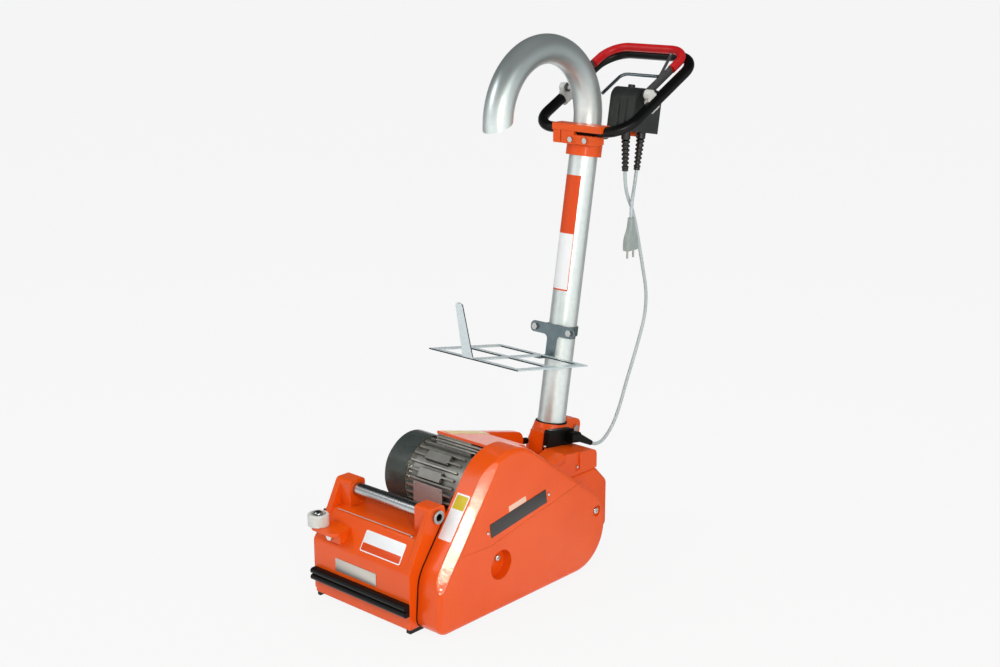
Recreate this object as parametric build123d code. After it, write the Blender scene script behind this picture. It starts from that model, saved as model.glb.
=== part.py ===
from build123d import *
import math
import os

# Drum floor sander. A motor over the drum housing drives the drum and a dust fan by two belts
# on the right. The dust rises through the guide tube to a bent outlet, and the operator holds
# a loop handle with a lift bail.
# Sizes are millimetres and degrees. The origin is on the floor under the middle of the
# machine, +Z is up, +X is the belt side and +Y is the operator's side.

# Clearances
RUN = 0.05                 # radial, round a turning shaft
SEAT = 0.05                # radial, round a fixed bar
GAP = 0.3                  # between pieces that move past each other

# Right end of the castings, where the belts begin
SIDE_X = 105.0

# Drum, 8 inch wide, with a rubber cover and an abrasive sleeve
DRUM_Y = -301.5
DRUM_LENGTH = 200.0
DRUM_LEFT = SIDE_X - 23.0 - DRUM_LENGTH
SLEEVE_R = 76.5
SLEEVE_T = 2.0
RUBBER_T = 11.5
CORE_T = 12.0
DRUM_LIFT = 0.5            # sleeve above the floor
DRUM_SHAFT_R = 12.5
DRUM_BEARING_R = 26.0
BEARING_W = 15.0

# Motor
MOTOR_Y = -179.5
MOTOR_Z = 205.0
STATOR_R = 62.0
FIN_R = 70.0
FIN_COUNT = 28
FIN_T = 3.2
PAD_HALF = 9.0             # flat pads across the fins
PAD_INSET = 34.0
PAD_TURNS = (36.0, 66.0)   # from upright, towards the front
STATOR_LENGTH = 123.0
STATOR_RIGHT = SIDE_X - 35.0
STATOR_LEFT = STATOR_RIGHT - STATOR_LENGTH
ROTOR_R = 40.0
MOTOR_SHAFT_R = 12.0
MOTOR_BEARING_R = 24.0
MOTOR_BEARING_W = 13.0
COWL_LENGTH = 67.0
COWL_WALL = 1.5

# Dust fan
FAN_Y = 0.5
FAN_Z = 90.0
FAN_R = 68.0
FAN_SHAFT_R = 10.0
FAN_BEARING_R = 21.0
CHAMBER_R = 73.0
CHAMBER_W = 75.0
CHAMBER_RIGHT = SIDE_X - 60.0
CHAMBER_LEFT = CHAMBER_RIGHT - CHAMBER_W

# Belt side: side plate, guard, pulleys and belts
PLATE_T = 7.0
GUARD_DEPTH = 55.0
GUARD_WALL = 3.0
GUARD_ROUND = 9.0
GUARD_FLAT = 15.0          # flat along the guard's front slope
MOTOR_LOBE_R = 96.0
DRUM_LOBE_R = 71.5
FAN_LOBE_R = 83.5
CORNER_LOBE_R = 24.0       # low front corner
GUARD_LOW = 2.5
WELL_Y = -216.0            # round well in the guard with a screw in its floor
WELL_Z = 92.0
WELL_R = 28.0
WELL_DEPTH = 20.0
WELL_SCREW_Y = -205.0
WELL_SCREW_Z = 96.0
REAR_SCREW_Y = 59.5
REAR_SCREW_Z = 113.0
DISH_R = 11.0              # round dish for the rear screw's head
DISH_DEPTH = 4.5
DRUM_BELT_X = SIDE_X + 18.0
FAN_BELT_X = DRUM_BELT_X + 19.0
BELT_W = 10.0
BELT_T = 8.0
FLANGE_T = 3.5
MOTOR_PULLEY_R = 42.0
DRUM_PULLEY_R = 48.0
FAN_PULLEY_R = 30.0

# Drum housing
HOOD_LEFT = DRUM_LEFT - 24.0
HOOD_WALL = 8.0
HOOD_BOTTOM = 8.0
HOOD_FRONT = DRUM_Y - 92.0
HOOD_REAR = DRUM_Y + 90.5
CAVITY_R = 83.0
FRONT_TOP = 112.0
SEAM_Y = DRUM_Y - 59.0
SEAM_Z = 168.0
CREST_Z = 174.0
BAR_Y = DRUM_Y - 20.5
BAR_Z = CREST_Z + 27.0
BAR_R = 12.5
BAR_BORE_R = 7.0
BAR_END = 5.0              # end of the bar outside the right ear
LUG_HALF = BAR_R + 6.5     # half of an ear's depth round the bar
LUG_RISE = BAR_R + 6.0
LUG_ROUND = 8.0
LUG_T = 38.0
LUG_RIB_T = 12.0           # rib from the ear down the slope
BUMPER_LOW = 35.0
BUMPER_H = 23.0
BUMPER_D = 14.0
RIB_R = 5.4
LIP_W = 10.0
DOOR_T = 4.0
DOOR_PIN_R = 3.0
KNUCKLE_R = 6.0
KNOB_H = 10.4              # thumb screw of the door

# Wall roller
ROLLER_X = HOOD_LEFT + 24.0
ROLLER_Y = HOOD_FRONT - 10.5
ROLLER_R = 19.5
ROLLER_H = 22.0
ROLLER_LOW = FRONT_TOP + 38.0
BRACKET_T = 8.0

# Fan casing, deck cover and wheels
CASING_HALF = SIDE_X
CASING_FRONT = -86.0
CASING_REAR = 161.5
CASING_LOW = 8.0
CASING_TOP = 172.0
CASING_WALL = 6.0
DECK_LEFT = -19.0
DECK_FRONT_Y = MOTOR_Y - 15.0
DECK_FRONT_Z = MOTOR_Z + 95.0
DECK_BACK_Y = 31.0
DECK_BACK_Z = 242.7
DECK_ROUND = 20.0
DECK_T = 5.0
TERMINAL_REAR = MOTOR_Y + 20.0   # motor's terminal box under the deck
STEP_X = -5.0              # the deck steps down beside its nose
STEP_Y = -89.0
STEP_Z = 205.0
SHOULDER_X = 52.0          # raised block of the deck beside the socket
SHOULDER_Y = 126.0
SHOULDER_Z = 209.0
DUCT_HALF = 75.0
DUCT_LOW = 18.0
DUCT_HIGH = 78.0
DUCT_WALL = 4.0
WHEEL_Y = 113.5
WHEEL_R = 45.0
WHEEL_W = 28.0
WHEEL_X = CASING_HALF - 30.0
AXLE_R = 6.0

# Guide tube, leaning back, and its bent outlet
TUBE_Y = 110.5
SOCKET_TOP = 246.0
TUBE_LEAN = 9.7
TUBE_R = 28.0
TUBE_WALL = 2.0
TUBE_SEAT = 60.0           # length inside the socket
BEND_START = 592.0
BEND_R = 130.0
OUTLET_DROP = 1.0
OUTLET_SLANT = 22.0
SOCKET_R = 32.5
SOCKET_BASE_R = 45.0
EAR_BOLT = TUBE_R + 32.0   # clamp bolt behind the tube
SOCKET_FLARE = 45.0        # height of the collar's cone
CONNECTOR_X = 38.0         # flat side of the socket

# Rack on the tube
RACK_S = 138.5
RACK_HALF = 113.0
RACK_DEPTH = 205.0
RACK_BACK = 51.0
RACK_T = 2.5
STRIP = 15.0
TAB_H = 113.0
TAB_X = -12.0
STRAP_S = 187.0
STRAP_HALF = 56.0
STRAP_H = 22.0
STRAP_T = 3.0
STEM_HALF = 11.0
EAR_ROUND = 9.5
RACK_BOLT_X = 43.0

# Handle loop and bail
HANDLE_X = 8.0             # loop stands a little to the right
HANDLE_FORWARD = 39.9      # low bar in front of the tube's middle line
HANDLE_LIFT = 2.35         # low bar above the clamp's top
HANDLE_SLOPE = 27.4
HANDLE_R = 10.5
HANDLE_WALL = 2.0
HANDLE_HALF = 110.0
HANDLE_LONG = 274.8
LOW_CORNER = 50.0
HIGH_CORNER = 55.0
CLAMP_R = 35.0
CLAMP_HIGH = BEND_START - 8.0      # along the tube
CLAMP_LOW = CLAMP_HIGH - 53.0
TUBE_JOINT = CLAMP_LOW + 29.0      # the tube ends and the outlet begins, inside the clamp
CLAMP_BOLTS = (8.0, 42.0)
CAP_LEFT = -38.0
CAP_RIGHT = 80.0
KNOB_S = CLAMP_HIGH - 6.0
KNOB_FORWARD = 10.0
BAIL_R = 8.5
BAIL_HALF = HANDLE_HALF - 13.5
BAIL_STEP = 6.0            # bail's bar in front of the loop's top bar
BAIL_PIVOT = 109.0
BAIL_GRIP_LOW = HANDLE_LONG - 74.8
BAIL_PIN_R = 4.0
LEG_T = 4.0
LEG_W = 16.0
ROD_R = 3.25
ROD_S = HANDLE_LONG - 108.4
ROD_LIFT = 22.5

# Switch box and cords
BOX_LEFT = TUBE_R + 5.0
BOX_RIGHT = HANDLE_X + BAIL_HALF - 10.5
BOX_SEAM = (BOX_LEFT + BOX_RIGHT) / 2 - 1.5
BOX_FRONT = 20.0
BOX_BACK = 105.0
BOX_LOW = CLAMP_HIGH + 4.0         # along the tube
BOX_HIGH = BOX_LOW + 84.0
BOX_WALL = 3.0
BUTTON_R = 7.0
GLAND_R = 9.0
GLAND_LONG = 130.0
CORD_R = 3.5
CORD_X = BOX_SEAM + 8.0

DRUM_Z = SLEEVE_R + DRUM_LIFT
DRUM_RIGHT = DRUM_LEFT + DRUM_LENGTH
GUARD_X = SIDE_X + GUARD_DEPTH
PLATE_X = SIDE_X + PLATE_T
HANDLE_Y = TUBE_Y + CLAMP_HIGH * math.sin(math.radians(TUBE_LEAN)) - HANDLE_FORWARD
HANDLE_Z = SOCKET_TOP + CLAMP_HIGH * math.cos(math.radians(TUBE_LEAN)) + HANDLE_LIFT
BAIL_LIFT = math.sqrt((HANDLE_R + BAIL_R + GAP) ** 2 - BAIL_STEP ** 2) + 0.2


def frame_at(x, y, z, lean):
    """A frame with local X across the machine and local Z leaning back from upright."""
    lean = math.radians(lean)
    return Plane(origin=(x, y, z), x_dir=(1, 0, 0), z_dir=(0, math.sin(lean), math.cos(lean)))


TUBE = frame_at(0, TUBE_Y, SOCKET_TOP, TUBE_LEAN).location
HANDLE = frame_at(HANDLE_X, HANDLE_Y, HANDLE_Z, -HANDLE_SLOPE).location


def box(x0, x1, y0, y1, z0, z1):
    """A block between two values on each axis."""
    middle = Pos((x0 + x1) / 2, (y0 + y1) / 2, (z0 + z1) / 2)
    return middle * Box(x1 - x0, y1 - y0, z1 - z0)


def rod_x(radius, x0, x1, y, z):
    """A round bar along X."""
    return Pos((x0 + x1) / 2, y, z) * Rot(0, 90, 0) * Cylinder(radius, x1 - x0)


def rod_z(radius, x, y, z0, z1):
    """A round bar along Z."""
    return Pos(x, y, (z0 + z1) / 2) * Cylinder(radius, z1 - z0)


def ring_x(outer, inner, x0, x1, y, z):
    """A tube along X."""
    return rod_x(outer, x0, x1, y, z) - rod_x(inner, x0 - 1, x1 + 1, y, z)


def prism_x(face, x0, x1):
    """A face drawn in Y and Z, carried along X."""
    return extrude(Plane.YZ.offset(x0) * face, amount=x1 - x0, dir=(1, 0, 0))


def rounded(points, radii):
    """A closed outline with a radius at each corner."""
    return make_face(FilletPolyline(*points, radius=radii, close=True))


def wrap(circles):
    """The face inside a band pulled tight round circles, listed anticlockwise."""
    normals = []
    for (y0, z0, r0), (y1, z1, r1) in zip(circles, circles[1:] + circles[:1]):
        along = math.atan2(z1 - z0, y1 - y0)
        normals.append(along - math.acos((r0 - r1) / math.hypot(y1 - y0, z1 - z0)))
    arcs = []
    for i, (y, z, r) in enumerate(circles):
        start = normals[i - 1]
        turn = (normals[i] - start) % (2 * math.pi)
        angles = [start, start + turn / 2, start + turn]
        arcs.append(ThreePointArc(*[(y + r * math.cos(a), z + r * math.sin(a)) for a in angles]))
    lines = [Line(a @ 1, b @ 0) for a, b in zip(arcs, arcs[1:] + arcs[:1])]
    return make_face(arcs + lines)


def lobes(inset):
    """Outline of the guard, drawn in by an inset."""
    return wrap([
        (MOTOR_Y, MOTOR_Z, MOTOR_LOBE_R - inset),
        (DRUM_Y, DRUM_Z + 1, DRUM_LOBE_R - inset),
        (DRUM_Y - 51.5, GUARD_LOW + CORNER_LOBE_R, CORNER_LOBE_R - inset),
        (FAN_Y + 3, GUARD_LOW + FAN_LOBE_R, FAN_LOBE_R - inset),
    ])


def bolt(head_r, head_h, shank_r, length):
    """A hexagon bolt along Z, its head above zero and its shank below."""
    head = extrude(RegularPolygon(head_r, 6), amount=head_h)
    return head + Pos(0, 0, -length / 2) * Cylinder(shank_r, length)


def screw(head_r, head_h, shank_r, length):
    """A pan-head screw along Z with a cross slot."""
    head = fillet(Cylinder(head_r, head_h).edges().sort_by(Axis.Z)[-1], head_h * 0.6)
    body = Pos(0, 0, head_h / 2) * head + Pos(0, 0, -length / 2) * Cylinder(shank_r, length)
    slots = Box(head_r * 1.1, 1.4, 2.4) + Box(1.4, head_r * 1.1, 2.4)
    return body - Pos(0, 0, head_h) * slots


def bearing(outer, bore, width, x0, y, z):
    """A sealed ball bearing along X, with a groove in each face between its rings."""
    middle = (outer + bore) / 2
    ring = ring_x(outer, bore, x0, x0 + width, y, z)
    groove = ring_x(middle + (outer - bore) * 0.2, middle - (outer - bore) * 0.2, 0, 1.2, y, z)
    return ring - Pos(x0 - 0.2, 0, 0) * groove - Pos(x0 + width - 1.0, 0, 0) * groove


def hollow_rod(radius, wall, path):
    """A tube swept along a path."""
    section = Plane(origin=path @ 0, z_dir=path % 0) * (Circle(radius) - Circle(radius - wall))
    return sweep(section, path=path)


def cord(points):
    """A round cord along straight runs joined by tangent arcs, as wide as the runs allow."""
    points = [Vector(*p) for p in points]
    radii = []
    for a, b, c in zip(points, points[1:], points[2:]):
        half_turn = math.radians((b - a).get_angle(c - b)) / 2
        radii.append(0.45 * min((b - a).length, (c - b).length) / math.tan(half_turn))
    path = FilletPolyline(*points, radius=radii)
    solid = sweep(Plane(origin=path @ 0, z_dir=path % 0) * Circle(CORD_R), path=path)
    print("cord radii", [round(r) for r in radii], "length", round(path.length),
          "volume ratio", round(solid.volume / (math.pi * CORD_R ** 2 * path.length), 4))
    return solid


# Drum and its shaft

def drum_core():
    rim_r = SLEEVE_R - SLEEVE_T - RUBBER_T
    tube = ring_x(rim_r, rim_r - CORE_T, DRUM_LEFT, DRUM_RIGHT, DRUM_Y, DRUM_Z)
    web = rod_x(rim_r - CORE_T, DRUM_LEFT + 60, DRUM_LEFT + 72, DRUM_Y, DRUM_Z)
    hub = rod_x(DRUM_SHAFT_R * 2, DRUM_LEFT + 50, DRUM_LEFT + 98, DRUM_Y, DRUM_Z)
    return tube + web + hub - rod_x(DRUM_SHAFT_R, DRUM_LEFT, DRUM_RIGHT, DRUM_Y, DRUM_Z)


def drum_rubber():
    outer = SLEEVE_R - SLEEVE_T
    return ring_x(outer, outer - RUBBER_T, DRUM_LEFT, DRUM_RIGHT, DRUM_Y, DRUM_Z)


def abrasive_sleeve():
    return ring_x(SLEEVE_R, SLEEVE_R - SLEEVE_T, DRUM_LEFT, DRUM_RIGHT, DRUM_Y, DRUM_Z)


def pulley(radius, bore, belts, y, z):
    """A pulley with one groove for each belt, listed by the belt's middle."""
    half = BELT_W / 2 + 0.4 + FLANGE_T
    body = rod_x(radius, belts[0] - half, belts[-1] + half, y, z)
    for x in belts:
        groove = ring_x(radius + 1, radius - BELT_T - 0.5, -half + FLANGE_T, half - FLANGE_T, y, z)
        body -= Pos(x, 0, 0) * groove
    return body - rod_x(bore, belts[0] - 2 * half, belts[-1] + 2 * half, y, z)


def belt(x, wheels):
    """A flat-sided belt round two pulleys."""
    outer = wrap([(y, z, r + 0.1) for y, z, r in wheels])
    inner = wrap([(y, z, r + 0.1 - BELT_T) for y, z, r in wheels])
    return prism_x(outer - inner, x - BELT_W / 2, x + BELT_W / 2)


# Drum housing and what is fixed to it

def hood_points():
    return [
        (HOOD_FRONT, HOOD_BOTTOM),
        (HOOD_REAR, HOOD_BOTTOM),
        (HOOD_REAR, FRONT_TOP + 6),
        (DRUM_Y + 60, CREST_Z - 22),
        (DRUM_Y + 46, CREST_Z - 4),
        (DRUM_Y + 8, CREST_Z),
        (SEAM_Y, SEAM_Z),
        (HOOD_FRONT, FRONT_TOP),
    ]


def hood_prism(x0, x1):
    return prism_x(rounded(hood_points(), [0, 3, 6, 6, 8, 12, 10, 14]), x0, x1)


def lug(x0, rib_x0):
    """An ear for the carry bar: a flat-topped boss on the crest, and a rib down the slope."""
    top_z = BAR_Z + LUG_RISE - LUG_ROUND
    top = [(BAR_Y + LUG_HALF - LUG_ROUND, top_z, LUG_ROUND), (BAR_Y - LUG_HALF + LUG_ROUND, top_z, LUG_ROUND)]
    foot = [(BAR_Y - LUG_HALF + 4, SEAM_Z - 10, 4.0), (BAR_Y + LUG_HALF - 4, SEAM_Z - 10, 4.0)]
    slope = [(HOOD_FRONT + 8, FRONT_TOP + 7, 4.0), (DRUM_Y + 4, CREST_Z - 10, 4.0)]
    boss = prism_x(wrap(foot + top), x0, x0 + LUG_T)
    return boss + prism_x(wrap(slope + top), rib_x0, rib_x0 + LUG_RIB_T)


def lugs():
    left = HOOD_LEFT + 3
    return lug(left, left) + lug(SIDE_X - LUG_T, SIDE_X - LUG_RIB_T)


def knuckle(z0, z1):
    """One barrel of the side door's hinge."""
    return rod_z(KNUCKLE_R, DOOR_PIN_X, DOOR_PIN_Y, z0, z1)


DOOR_FACE = HOOD_LEFT - GAP
DOOR_PIN_X = DOOR_FACE - DOOR_T - 2
DOOR_PIN_Y = HOOD_REAR + KNUCKLE_R + 1
KNUCKLES = [30.0, 55.0, 80.0, 105.0, 118.0]
DOOR_SCREW_Y = DRUM_Y - 51.5
DOOR_SCREW_Z = DRUM_Z + 71


def drum_housing():
    right_wall = SIDE_X - 12
    body = hood_prism(HOOD_LEFT, SIDE_X) + lugs()
    inside = rod_x(CAVITY_R, HOOD_LEFT + HOOD_WALL, right_wall, DRUM_Y, DRUM_Z)
    inside += box(HOOD_LEFT + HOOD_WALL, right_wall, DRUM_Y - CAVITY_R, DRUM_Y + CAVITY_R, 0, DRUM_Z)
    body -= inside
    mouth = SLEEVE_R + 3
    body -= rod_x(mouth, HOOD_LEFT - 1, HOOD_LEFT + HOOD_WALL + 1, DRUM_Y, DRUM_Z)
    body += rod_x(DRUM_BEARING_R + 8, DRUM_RIGHT - 35, SIDE_X, DRUM_Y, DRUM_Z)
    body -= rod_x(DRUM_BEARING_R, DRUM_RIGHT - 36, DRUM_RIGHT - 34 + BEARING_W, DRUM_Y, DRUM_Z)
    body -= rod_x(DRUM_BEARING_R, SIDE_X - BEARING_W, SIDE_X + 1, DRUM_Y, DRUM_Z)
    body -= rod_x(DRUM_BEARING_R - 4, DRUM_RIGHT - 36, SIDE_X + 1, DRUM_Y, DRUM_Z)
    body -= rod_x(BAR_R + SEAT, HOOD_LEFT + 15, SIDE_X + 1, BAR_Y, BAR_Z)
    # The dust leaves through the rear wall into the duct.
    body -= box(-DUCT_HALF + DUCT_WALL, DUCT_HALF - DUCT_WALL, HOOD_REAR - 20, HOOD_REAR + 1,
                DUCT_LOW + DUCT_WALL, DUCT_HIGH - DUCT_WALL)
    for low, high in zip(KNUCKLES[0:3:2], KNUCKLES[1:4:2]):
        arm = box(HOOD_LEFT, HOOD_LEFT + 20, HOOD_REAR, DOOR_PIN_Y + KNUCKLE_R, low, high)
        arm += box(DOOR_PIN_X, HOOD_LEFT, HOOD_REAR + 2 * GAP, DOOR_PIN_Y + KNUCKLE_R, low, high)
        arm += knuckle(low, high)
        body += arm - rod_z(DOOR_PIN_R + SEAT, DOOR_PIN_X, DOOR_PIN_Y, 0, 200)
    body -= rod_x(4.2, HOOD_LEFT - 1, HOOD_LEFT + HOOD_WALL + 1, DOOR_SCREW_Y, DOOR_SCREW_Z)
    body -= Pos(BRACKET_BOLT_X, HOOD_FRONT, BRACKET_BOLT_Z) * Rot(90, 0, 0) * Cylinder(4 + SEAT, 60)
    return body


def side_door():
    outline = rounded(
        [
            (HOOD_FRONT + 1, HOOD_BOTTOM + 3),
            (HOOD_REAR, HOOD_BOTTOM + 3),
            (HOOD_REAR, FRONT_TOP + 4),
            (DRUM_Y + 56, SEAM_Z - 18),
            (SEAM_Y + 8, SEAM_Z - 8),
            (HOOD_FRONT + 1, FRONT_TOP),
        ],
        [6, 3, 8, 16, 16, 12],
    )
    plate = prism_x(outline, DOOR_FACE - DOOR_T, DOOR_FACE)
    for low, high in [(KNUCKLES[1] + GAP, KNUCKLES[2] - GAP), (KNUCKLES[3] + GAP, KNUCKLES[4])]:
        strap = box(DOOR_PIN_X, DOOR_FACE - DOOR_T + 2, HOOD_REAR - 10, DOOR_PIN_Y, low, high)
        plate += strap + knuckle(low, high)
    plate -= rod_z(DOOR_PIN_R + RUN, DOOR_PIN_X, DOOR_PIN_Y, 0, 200)
    return plate - rod_x(3 + RUN, DOOR_FACE - 20, DOOR_FACE + 1, DOOR_SCREW_Y, DOOR_SCREW_Z)


def door_pin():
    pin = rod_z(DOOR_PIN_R, DOOR_PIN_X, DOOR_PIN_Y, KNUCKLES[0] - 1, KNUCKLES[4] + 2)
    return pin + rod_z(DOOR_PIN_R + 2, DOOR_PIN_X, DOOR_PIN_Y, KNUCKLES[4] + 2, KNUCKLES[4] + 5)


def door_knob():
    face = DOOR_FACE - DOOR_T - GAP
    grip = rod_x(9, face - KNOB_H, face, DOOR_SCREW_Y, DOOR_SCREW_Z)
    for i in range(8):
        turn = math.radians(45 * i)
        grip -= rod_x(2.2, face - KNOB_H - 1, face - 3, DOOR_SCREW_Y + 9.6 * math.cos(turn),
                      DOOR_SCREW_Z + 9.6 * math.sin(turn))
    return grip + rod_x(3, face - 1, HOOD_LEFT + 4, DOOR_SCREW_Y, DOOR_SCREW_Z)


def carry_bar():
    return ring_x(BAR_R, BAR_BORE_R, HOOD_LEFT + 15, SIDE_X + BAR_END, BAR_Y, BAR_Z)


def front_bumper():
    back = box(HOOD_LEFT, SIDE_X, HOOD_FRONT - 5, HOOD_FRONT, BUMPER_LOW, BUMPER_LOW + BUMPER_H)
    for z in (BUMPER_LOW + RIB_R, BUMPER_LOW + BUMPER_H - RIB_R):
        back += rod_x(RIB_R, HOOD_LEFT, SIDE_X, HOOD_FRONT - BUMPER_D + RIB_R, z)
        back += box(HOOD_LEFT, SIDE_X, HOOD_FRONT - BUMPER_D + RIB_R, HOOD_FRONT, z - RIB_R, z + RIB_R)
    return back


def dust_lips():
    left = box(HOOD_LEFT + 1, HOOD_LEFT + HOOD_WALL, HOOD_FRONT + 2, HOOD_REAR - 4, 0, HOOD_BOTTOM)
    right = box(SIDE_X - 1 - LIP_W, SIDE_X - 1, HOOD_FRONT + 2, HOOD_REAR - 4, 0, HOOD_BOTTOM)
    return Compound([left, right])


BRACKET_LOW = ROLLER_LOW - GAP - BRACKET_T
BRACKET_BOLT_X = ROLLER_X + 27
BRACKET_BOLT_Z = BRACKET_LOW - 8.5


def roller_bracket():
    tongue = wrap([(ROLLER_X, ROLLER_Y, 13.0), (ROLLER_X + 46, ROLLER_Y - 1, 12.0),
                   (ROLLER_X + 46, ROLLER_Y + 30, 6.0), (ROLLER_X + 14, ROLLER_Y + 30, 6.0)])
    body = Pos(0, 0, BRACKET_LOW) * extrude(tongue, amount=BRACKET_T)
    body += box(ROLLER_X + 12, ROLLER_X + 52, HOOD_FRONT - 6, HOOD_FRONT + 30, BRACKET_LOW - 18,
                BRACKET_LOW + BRACKET_T)
    body -= prism_x(make_face(Polyline(*hood_points(), close=True)), HOOD_LEFT, SIDE_X)
    body -= lugs()
    body -= rod_z(5 + SEAT, ROLLER_X, ROLLER_Y, 0, 400)
    return body - Pos(BRACKET_BOLT_X, HOOD_FRONT, BRACKET_BOLT_Z) * Rot(90, 0, 0) * Cylinder(4 + SEAT, 60)


def wall_roller():
    body = rod_z(ROLLER_R, ROLLER_X, ROLLER_Y, ROLLER_LOW, ROLLER_LOW + ROLLER_H)
    top = body.edges().filter_by(GeomType.CIRCLE).group_by(Axis.Z)[-1]
    body = fillet(top, 3)
    body -= rod_z(14, ROLLER_X, ROLLER_Y, ROLLER_LOW + ROLLER_H - 8, ROLLER_LOW + ROLLER_H + 1)
    return body - rod_z(5 + RUN, ROLLER_X, ROLLER_Y, 0, 400)


# Belt side

def side_plate():
    body = prism_x(lobes(GUARD_WALL + 0.5), SIDE_X, PLATE_X)
    well_floor = GUARD_X - WELL_DEPTH - GUARD_WALL
    rear_floor = GUARD_X - DISH_DEPTH - GUARD_WALL
    body += rod_x(7, PLATE_X, well_floor, WELL_SCREW_Y, WELL_SCREW_Z)
    body += rod_x(7, PLATE_X, rear_floor, REAR_SCREW_Y, REAR_SCREW_Z)
    body -= rod_x(3 + SEAT, well_floor - 18, GUARD_X, WELL_SCREW_Y, WELL_SCREW_Z)
    body -= rod_x(3 + SEAT, rear_floor - 18, GUARD_X, REAR_SCREW_Y, REAR_SCREW_Z)
    body -= rod_x(DRUM_SHAFT_R + 5, SIDE_X - 1, PLATE_X + 1, DRUM_Y, DRUM_Z)
    body -= rod_x(MOTOR_SHAFT_R + 6, SIDE_X - 1, PLATE_X + 1, MOTOR_Y, MOTOR_Z)
    return body - rod_x(FAN_SHAFT_R + 5, SIDE_X - 1, PLATE_X + 1, FAN_Y, FAN_Z)


def guard_flat(inset):
    """What the flat along the front slope of the guard takes off, drawn in by an inset."""
    along = math.atan2(DRUM_Z + 1 - MOTOR_Z, DRUM_Y - MOTOR_Y)
    reach = math.hypot(DRUM_Y - MOTOR_Y, DRUM_Z + 1 - MOTOR_Z)
    out = along - math.acos((MOTOR_LOBE_R - DRUM_LOBE_R) / reach)
    y, z = math.cos(out), math.sin(out)
    spot = (GUARD_X - GUARD_FLAT, MOTOR_Y + MOTOR_LOBE_R * y, MOTOR_Z + MOTOR_LOBE_R * z)
    face = Plane(origin=spot, x_dir=(0, -z, y), z_dir=(1, y, z)).location
    return face * Pos(0, 0, -inset) * box(-2 * reach, 2 * reach, -reach, reach, 0, reach)


def belt_guard():
    shell = prism_x(lobes(0), SIDE_X, GUARD_X)
    shell = fillet(shell.edges().group_by(Axis.X)[-1], GUARD_ROUND) - guard_flat(0)
    hollow = prism_x(lobes(GUARD_WALL), SIDE_X, GUARD_X - GUARD_WALL)
    hollow = fillet(hollow.edges().group_by(Axis.X)[-1], GUARD_ROUND - GUARD_WALL) - guard_flat(GUARD_WALL)
    body = shell - hollow
    for y, z, radius, depth in ((WELL_Y, WELL_Z, WELL_R, WELL_DEPTH),
                                (REAR_SCREW_Y, REAR_SCREW_Z, DISH_R, DISH_DEPTH)):
        floor = GUARD_X - depth
        cup = rod_x(radius + GUARD_WALL, floor - GUARD_WALL, GUARD_X, y, z) & shell
        body = body + cup - rod_x(radius, floor, GUARD_X + 1, y, z)
    for y, z in ((WELL_SCREW_Y, WELL_SCREW_Z), (REAR_SCREW_Y, REAR_SCREW_Z)):
        body -= rod_x(3.3, PLATE_X, GUARD_X, y, z)
    return body


def guard_screws():
    one = Rot(0, 90, 0) * screw(6.5, 4, 3, 18)
    return Compound([
        Pos(GUARD_X - WELL_DEPTH, WELL_SCREW_Y, WELL_SCREW_Z) * one,
        Pos(GUARD_X - DISH_DEPTH, REAR_SCREW_Y, REAR_SCREW_Z) * one,
    ])


# Motor

SHIELD_RIM_R = FIN_R + 0.3
COWL_R = SHIELD_RIM_R + 0.2 + COWL_WALL
COWL_RIGHT = STATOR_LEFT + 3
COWL_LEFT = COWL_RIGHT - COWL_LENGTH


def motor_stator():
    body = ring_x(STATOR_R, ROTOR_R + 1.5, STATOR_LEFT, STATOR_RIGHT, MOTOR_Y, MOTOR_Z)
    fin = box(STATOR_LEFT + 4, STATOR_RIGHT - 3, -FIN_T / 2, FIN_T / 2, STATOR_R - 1, FIN_R)
    for i in range(FIN_COUNT):
        body += Pos(0, MOTOR_Y, MOTOR_Z) * Rot(360 * i / FIN_COUNT, 0, 0) * fin
    pad = box(STATOR_LEFT + PAD_INSET, STATOR_RIGHT - PAD_INSET, -PAD_HALF, PAD_HALF, STATOR_R - 1, FIN_R + 1)
    for turn in PAD_TURNS:
        body += Pos(0, MOTOR_Y, MOTOR_Z) * Rot(turn, 0, 0) * pad
    terminals = prism_x(deck_outline(DECK_T + GAP), DECK_LEFT, STATOR_RIGHT - 3)
    terminals &= box(COWL_LEFT, SIDE_X, DECK_FRONT_Y + 1, TERMINAL_REAR, MOTOR_Z + STATOR_R - 8, DECK_FRONT_Z)
    return body + terminals


def motor_end_shields():
    bore = ROTOR_R + 10
    right = rod_x(STATOR_R + 4, STATOR_RIGHT, SIDE_X, MOTOR_Y, MOTOR_Z)
    right -= rod_x(bore, STATOR_RIGHT - 1, SIDE_X - MOTOR_BEARING_W - 3, MOTOR_Y, MOTOR_Z)
    right -= rod_x(MOTOR_BEARING_R, SIDE_X - MOTOR_BEARING_W, SIDE_X + 1, MOTOR_Y, MOTOR_Z)
    left = rod_x(SHIELD_RIM_R, STATOR_LEFT - 6, STATOR_LEFT, MOTOR_Y, MOTOR_Z)
    left += rod_x(MOTOR_BEARING_R + 6, STATOR_LEFT, STATOR_LEFT + MOTOR_BEARING_W - 2, MOTOR_Y, MOTOR_Z)
    left -= rod_x(MOTOR_BEARING_R, STATOR_LEFT - 2, STATOR_RIGHT, MOTOR_Y, MOTOR_Z)
    through = rod_x(MOTOR_SHAFT_R + 2, COWL_LEFT, GUARD_X, MOTOR_Y, MOTOR_Z)
    return Compound([left - through, right - through])


def motor_rotor():
    core = rod_x(ROTOR_R, STATOR_LEFT + 16, STATOR_RIGHT - 8, MOTOR_Y, MOTOR_Z)
    end = FAN_BELT_X + BELT_W / 2 + FLANGE_T + 2
    return core + rod_x(MOTOR_SHAFT_R, COWL_LEFT + 14, end, MOTOR_Y, MOTOR_Z)


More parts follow.
